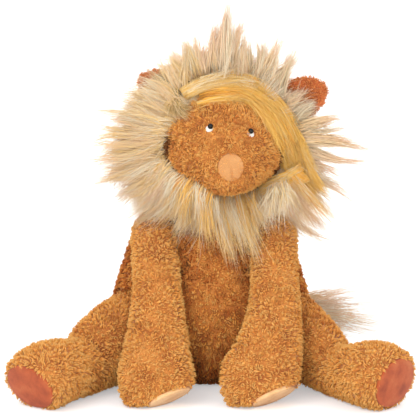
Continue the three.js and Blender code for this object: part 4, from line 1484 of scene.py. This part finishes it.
def fringe_locks():
    locks = []
    for root_x, root_y, tip_x, tip_y, families in FRINGE_PX:
        for reach, vary, ahead in FRINGE_LAYERS:
            root = on_head(root_x + rng.normal() * FRINGE_ROOT_STRAY_PX, root_y + FRINGE_ROOT_DROP_PX)
            depth = ahead + FRINGE_RETREAT * abs(tip_x - FRINGE_MIDDLE_PX)
            tip = photo_place(tip_x + rng.normal() * FRINGE_TIP_STRAY_PX[0],
                              tip_y + rng.normal() * FRINGE_TIP_STRAY_PX[1], depth)
            tip = root + (tip - root) * (reach + vary * rng.normal())
            sweep = array([FRINGE_SWEEP_PX * METRES_PER_PX * rng.uniform(*FRINGE_SWEEPS), 0.0, 0.0])
            control = root + (tip - root) * HANGING_ARCH_SHARE + array(FRINGE_ARCH) - sweep
            locks.append(lock("fringe", bezier(root, control, tip), families))
    for x_px, y_px in SPRAY_TIPS_PX:
        for share in SPRAY_LAYER_SHARES:
            root = photo_place(SPRAY_ROOT_PX[0] + (x_px - SPRAY_ROOT_PX[0]) * SPRAY_ROOT_SHARE,
                               SPRAY_ROOT_PX[1] + rng.normal() * SPRAY_ROOT_STRAY_PX, SPRAY_ROOT_DEPTH)
            tip = root + (photo_place(x_px, y_px, SPRAY_TIP_DEPTH) - root) * share
            control = root + (tip - root) * HANGING_ARCH_SHARE + array(SPRAY_ARCH)
            locks.append(lock("spray", bezier(root, control, tip), LOW_GREY))
    return locks


# Short dark hair that swirls out of the whorl: turns in the picture, lengths in pixels, where
# along a lock its guide has points, how much it curls, and how far it rises from root to tip
SWIRL_TURNS = (75, 290)
SWIRL_STRAY = 6
SWIRL_REACH_PX = (12, 26)
SWIRL_LOCKS = 46
SWIRL_SHARES = (0.08, 0.45, 0.75, 1.0)
SWIRL_CURL = 0.7
SWIRL_LIFT = 0.003
SWIRL_RISE = 0.007


def swirl_locks():
    locks = []
    for degrees in np.linspace(*SWIRL_TURNS, SWIRL_LOCKS):
        turn = math.radians(degrees + rng.normal() * SWIRL_STRAY)
        reach = rng.uniform(*SWIRL_REACH_PX)
        places = []
        for share in SWIRL_SHARES:
            curled = turn + SWIRL_CURL * share
            x_px = WHORL_PX[0] + math.cos(curled) * reach * share
            y_px = WHORL_PX[1] - math.sin(curled) * reach * share
            places.append(on_surface(x_px, y_px) + TOWARDS_CAMERA * (SWIRL_LIFT + SWIRL_RISE * share))
        locks.append(lock("swirl", through(places), WHORL_FAMILIES))
    return locks


FLYAWAY_STRAY = 0.011
FLYAWAY_POWER = 1.5


def flyaways(locks):
    """A few loose hairs that stand out of every second lock."""
    loose = []
    along = np.linspace(0, 1, GUIDE_STEPS)[:, None] ** FLYAWAY_POWER
    for each in locks[::2]:
        away = FLYAWAY_STRAY * rng.normal(size=3)
        loose.append(lock("flyaway", each["guide"] + along * away, each["families"]))
    return loose


# Strands of a lock: the half width of a hair and its taper from root to tip, the spread of
# widths, the longest strand's share, how lengths are spread between it and the shortest, how
# soon they gather, how late they stray, and how they curl: waves, phases, and size as a share
# of the length
HAIR_STEPS = 6
HAIR_HALF = 0.00031
HAIR_TAPER_SHARES = (0.9, 1.0, 0.9, 0.7, 0.48, 0.26)
HAIR_WIDTHS = (0.7, 1.25)
LONGEST_SHARE = 1.05
LENGTH_SPREAD = (2.0, 1.5)
GATHER_POWER = 0.8
STRAY_POWER = 1.6
HAIR_WAVES = (3, 7)
HAIR_PHASES = (0, 6.3)
HAIR_CURL_SHARE = 0.02
HAIR_BURIED = 0.0012
ROOT_STEP = 4
MAIN_FAMILY_SHARE = 0.6
SHADE_LEAN = (2.6, 1.2)


def hair_paths(locks):
    """The strands of all locks, with their half widths and palette columns."""
    paths, halves, columns = [], [], []
    steps = np.linspace(0, 1, HAIR_STEPS + 1)
    for each in locks:
        count, guide, shortest = each["count"], each["guide"], each["shortest"]
        length = np.linalg.norm(guide[-1] - guide[0])
        axis = unit(guide[ROOT_STEP] - guide[0])
        offset = rng.normal(size=(count, 3))
        offset -= axis * (offset @ axis)[:, None]
        offset = unit(offset) * (each["spread"] * np.sqrt(rng.random((count, 1))))
        cut = shortest + (LONGEST_SHARE - shortest) * rng.beta(*LENGTH_SPREAD, size=(count, 1))
        t = np.minimum(steps[None] * cut, 1.0)
        gather = 1 - each["clump"] * t ** GATHER_POWER
        wander = rng.normal(size=(count, 1, 3)) * each["frizz"] * (t ** STRAY_POWER)[..., None]
        curl = np.sin(t * rng.uniform(*HAIR_WAVES, size=(count, 1))
                      + rng.uniform(*HAIR_PHASES, size=(count, 1)))
        side = unit(np.cross(axis, rng.normal(size=(count, 3))))[:, None]
        curl = curl[..., None] * side * (t * length * HAIR_CURL_SHARE)[..., None]
        strand = along_route(guide, t) + offset[:, None] * gather[..., None] + wander + curl
        strand[:, 0] -= axis * HAIR_BURIED
        paths.append(strand)
        halves.append(HAIR_HALF * each["thin"] * rng.uniform(*HAIR_WIDTHS, size=(count, 1))
                      * array(HAIR_TAPER_SHARES)[None])
        columns.append(hair_columns(each["families"], count))
    return np.concatenate(paths), np.concatenate(halves), np.concatenate(columns)


def hair_columns(families, count):
    """A lock is mostly of one family, with some strands of the others."""
    names = list(families)
    weights = array([families[name] for name in names])
    main = rng.choice(len(names), p=weights / weights.sum())
    picks = rng.choice(len(names), p=weights / weights.sum(), size=count)
    picks[rng.random(count) < MAIN_FAMILY_SHARE] = main
    family = np.array([HAIR_NAMES.index(name) for name in names])[picks]
    return family * SHADES + shades_about(rng.beta(*SHADE_LEAN), count)


# How far hair stays off the fabric that it lies on, how deep in it hair is looked for, and how
# near the face's edge hair may come
HANGING_CLEARANCE = 0.0035
DRAPED_CLEARANCE = 0.0006
CLEARANCE_REACH = 0.02
FACE_MARGIN_SHARE = 0.95
# Hair that hangs ahead of an arm: how low its tips end, how low its roots start, and how far aside its tips
# lie
FRINGE_LOWEST = 0.168
FRINGE_HIGHEST_ROOT = 0.205
FRINGE_APART = 0.014


def clear_of(paths, others, clearance):
    """Hair lies on the covers below it and never in them."""
    for other in others:
        for step in range(1, paths.shape[1]):
            paths[:, step] = pushed_out(other, paths[:, step], clearance, CLEARANCE_REACH)
    return paths


def off_the_face(paths):
    """Which strands leave the bare face free."""
    local = to_head(paths[:, 1:].reshape(-1, 3))
    radius = np.hypot(local[:, 0], local[:, 2])
    edge = round_face(np.arctan2(local[:, 2], local[:, 0]), edge_radii)
    over = (local[:, 1] < 0) & (radius < edge * FACE_MARGIN_SHARE)
    return ~over.reshape(len(paths), -1).any(axis=1)


def in_reach(paths, side):
    """Which strands hang ahead of one arm."""
    tips = paths[:, -1]
    aside = (tips[:, 0] - head_middle[0]) * (1 if side == "right" else -1)
    return (tips[:, 2] < FRINGE_LOWEST) & (paths[:, 0, 2] < FRINGE_HIGHEST_ROOT) & (
        tips[:, 1] < 0) & (aside > FRINGE_APART)


def hair_pieces(name, strands, body, fabric):
    paths, halves, columns = strands
    return strand_pieces(name, paths, halves, columns, HAIR_COLUMNS, body, fabric, STRANDS_PER_PIECE)


def chosen_of(strands, chosen):
    return [values[chosen] for values in strands]


def build_mane():
    long_locks = hero_locks() + row_locks() + back_locks()
    strands = hair_paths(long_locks + fringe_locks() + flyaways(long_locks))
    strands = chosen_of(strands, off_the_face(strands[0]))
    paths = strands[0]
    low = paths[..., 2].min(axis=1) < head_low[2]
    below = [trees[name] for name in ("torso", "arm_left", "arm_right")]
    paths[low] = clear_of(paths[low], below, HANGING_CLEARANCE)
    over_arm = {side: in_reach(paths, side) for side in SIDES}
    for side, chosen in over_arm.items():
        for piece in hair_pieces(f"mane_fringe_{side}", chosen_of(strands, chosen), "head", hair_pile):
            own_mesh(piece)
    strands = chosen_of(strands, ~(over_arm["left"] | over_arm["right"]))
    roots = strands[0][:, 0] - head_middle
    order = np.argsort(np.arctan2(roots[:, 2], roots[:, 0]))
    hair_pieces("mane_hair", chosen_of(strands, order), "head", hair_pile)
    draped = swirl_locks() + [each for band in BANDS for each in band_locks(band)]
    paths, halves, columns = hair_paths(draped)
    paths = clear_of(paths, [trees["head"], trees["hood"]], DRAPED_CLEARANCE)
    hair_pieces("face_band_hair", (paths, halves, columns), "head", band_pile)


# Tail tuft. Pixels of the photograph: where each tip shows, and its depth
TUFT_TIPS_PX = [
    (376, 291, 0.121), (362, 298, 0.128), (382, 308, 0.117), (398, 329, 0.120), (386, 322, 0.112),
    (372, 340, 0.118), (358, 342, 0.110), (342, 340, 0.112), (346, 292, 0.126), (368, 318, 0.130),
    (392, 338, 0.116), (366, 306, 0.112),
]
TUFT_FAMILIES = {"peach": 4, "pale": 6, "pinkish": 3}
TUFT_LOWEST = 0.003
# Its middle lies inside the tail's corner; its roots start behind it and step towards the tip
TUFT_INSET = (0.006, 0.009)
TUFT_ROOTS = 4
TUFT_START = -0.028
TUFT_STEP = 0.007
TUFT_SLANT = 0.002
TUFT_ROOT_STRAY = 0.002
TUFT_REACHES = (0.9, 1.14)
TUFT_ARCHES = (-0.002, 0.014)


def build_tuft():
    low, high = corners_of("tail_core")
    end = array([high[0] - TUFT_INSET[0], high[1] - TUFT_INSET[1], (low[2] + high[2]) / 2])
    locks = []
    for x_px, y_px, depth in TUFT_TIPS_PX:
        tip = photo_place(x_px, y_px, depth)
        tip[2] = max(tip[2], TUFT_LOWEST)
        for i in range(TUFT_ROOTS):
            place = end + array([TUFT_START + TUFT_STEP * i, -TUFT_SLANT * (TUFT_ROOTS - i), 0.0])
            root = place + TUFT_ROOT_STRAY * rng.normal(size=3)
            reach = root + (tip - root) * rng.uniform(*TUFT_REACHES)
            control = root + (reach - root) * HANGING_ARCH_SHARE + UP * rng.uniform(*TUFT_ARCHES)
            locks.append(lock("tuft", bezier(root, control, reach), TUFT_FAMILIES))
    paths, halves, columns = hair_paths(locks)
    paths[..., 2] = np.maximum(paths[..., 2], FLOOR_GAP)
    pieces = hair_pieces("tail_hair", (paths, halves, columns), "tail", tuft_hair)
    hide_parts("tail_tuft")


# Floor, light and camera

FLOOR_REACH = 6.0
FLOOR_GLOW = 0.4
FLOOR_ROUGHNESS = 0.9
AMBIENT = 0.80
# Place, size and power of each lamp; all look at the middle of the lion
LAMPS = {
    "key": {"place": (-0.9, -1.5, 1.5), "size": 1.1, "power": 12.0},
    "front": {"place": (-0.3, -2.3, 0.8), "size": 1.6, "power": 22.0},
    "fill": {"place": (1.5, -1.1, 0.5), "size": 1.4, "power": 6.0},
    "back": {"place": (0.4, 1.4, 1.5), "size": 1.2, "power": 8.0},
}


def build_floor():
    corners = FLOOR_REACH * array([(-1, -1, 0), (1, -1, 0), (1, 1, 0), (-1, 1, 0)])
    floor = mesh_object("floor", corners, np.array([(0, 1, 2), (0, 2, 3)]))
    made, tree, shader = material("floor_white", FLOOR_ROUGHNESS)
    shader.inputs["Base Color"].default_value = linear("F2F2F2")
    shader.inputs["Specular IOR Level"].default_value = 0.0
    shader.inputs["Emission Color"].default_value = WHITE
    seen = new(tree, "ShaderNodeLightPath").outputs["Is Camera Ray"]
    feed(tree, math_node(tree, "MULTIPLY", seen, FLOOR_GLOW), shader.inputs["Emission Strength"])
    floor.data.materials.append(made)


def build_world():
    world = bpy.data.worlds.new("studio")
    bpy.context.scene.world = world
    world.use_nodes = True
    tree = world.node_tree
    background = tree.nodes["Background"]
    background.inputs["Color"].default_value = WHITE
    path = new(tree, "ShaderNodeLightPath")
    white = math_node(tree, "MAXIMUM", path.outputs["Is Camera Ray"], math_node(
        tree, "MAXIMUM", path.outputs["Is Glossy Ray"], path.outputs["Is Transmission Ray"]))
    strength = new(tree, "ShaderNodeMapRange")
    strength.inputs["To Min"].default_value = AMBIENT
    strength.inputs["To Max"].default_value = 1.0
    feed(tree, white, strength.inputs["Value"])
    feed(tree, strength.outputs["Result"], background.inputs["Strength"])


def build_lamps():
    for name, lamp in LAMPS.items():
        light = bpy.data.lights.new(name, "AREA")
        light.size = lamp["size"]
        light.energy = lamp["power"]
        shown = bpy.data.objects.new(name, light)
        shown.location = lamp["place"]
        aim = Vector(VIEW_MIDDLE) - shown.location
        shown.rotation_euler = aim.to_track_quat("-Z", "Y").to_euler()
        bpy.context.scene.collection.objects.link(shown)


def build_camera():
    data = bpy.data.cameras.new("camera")
    data.sensor_width = SENSOR
    data.lens = SENSOR * CAMERA_DISTANCE / (PHOTO_WIDTH_PX * METRES_PER_PX)
    data.clip_end = CAMERA_REACH
    camera = bpy.data.objects.new("camera", data)
    camera.location = Vector(VIEW_MIDDLE) - VIEW_DIRECTION * CAMERA_DISTANCE
    camera.rotation_euler = VIEW_DIRECTION.to_track_quat("-Z", "Y").to_euler()
    bpy.context.scene.collection.objects.link(camera)
    bpy.context.scene.camera = camera
    bpy.context.scene.view_settings.view_transform = "Standard"


build_camera()
build_world()
build_lamps()
build_floor()
build_pads()
build_face()
build_pile()
build_mane()
build_tuft()
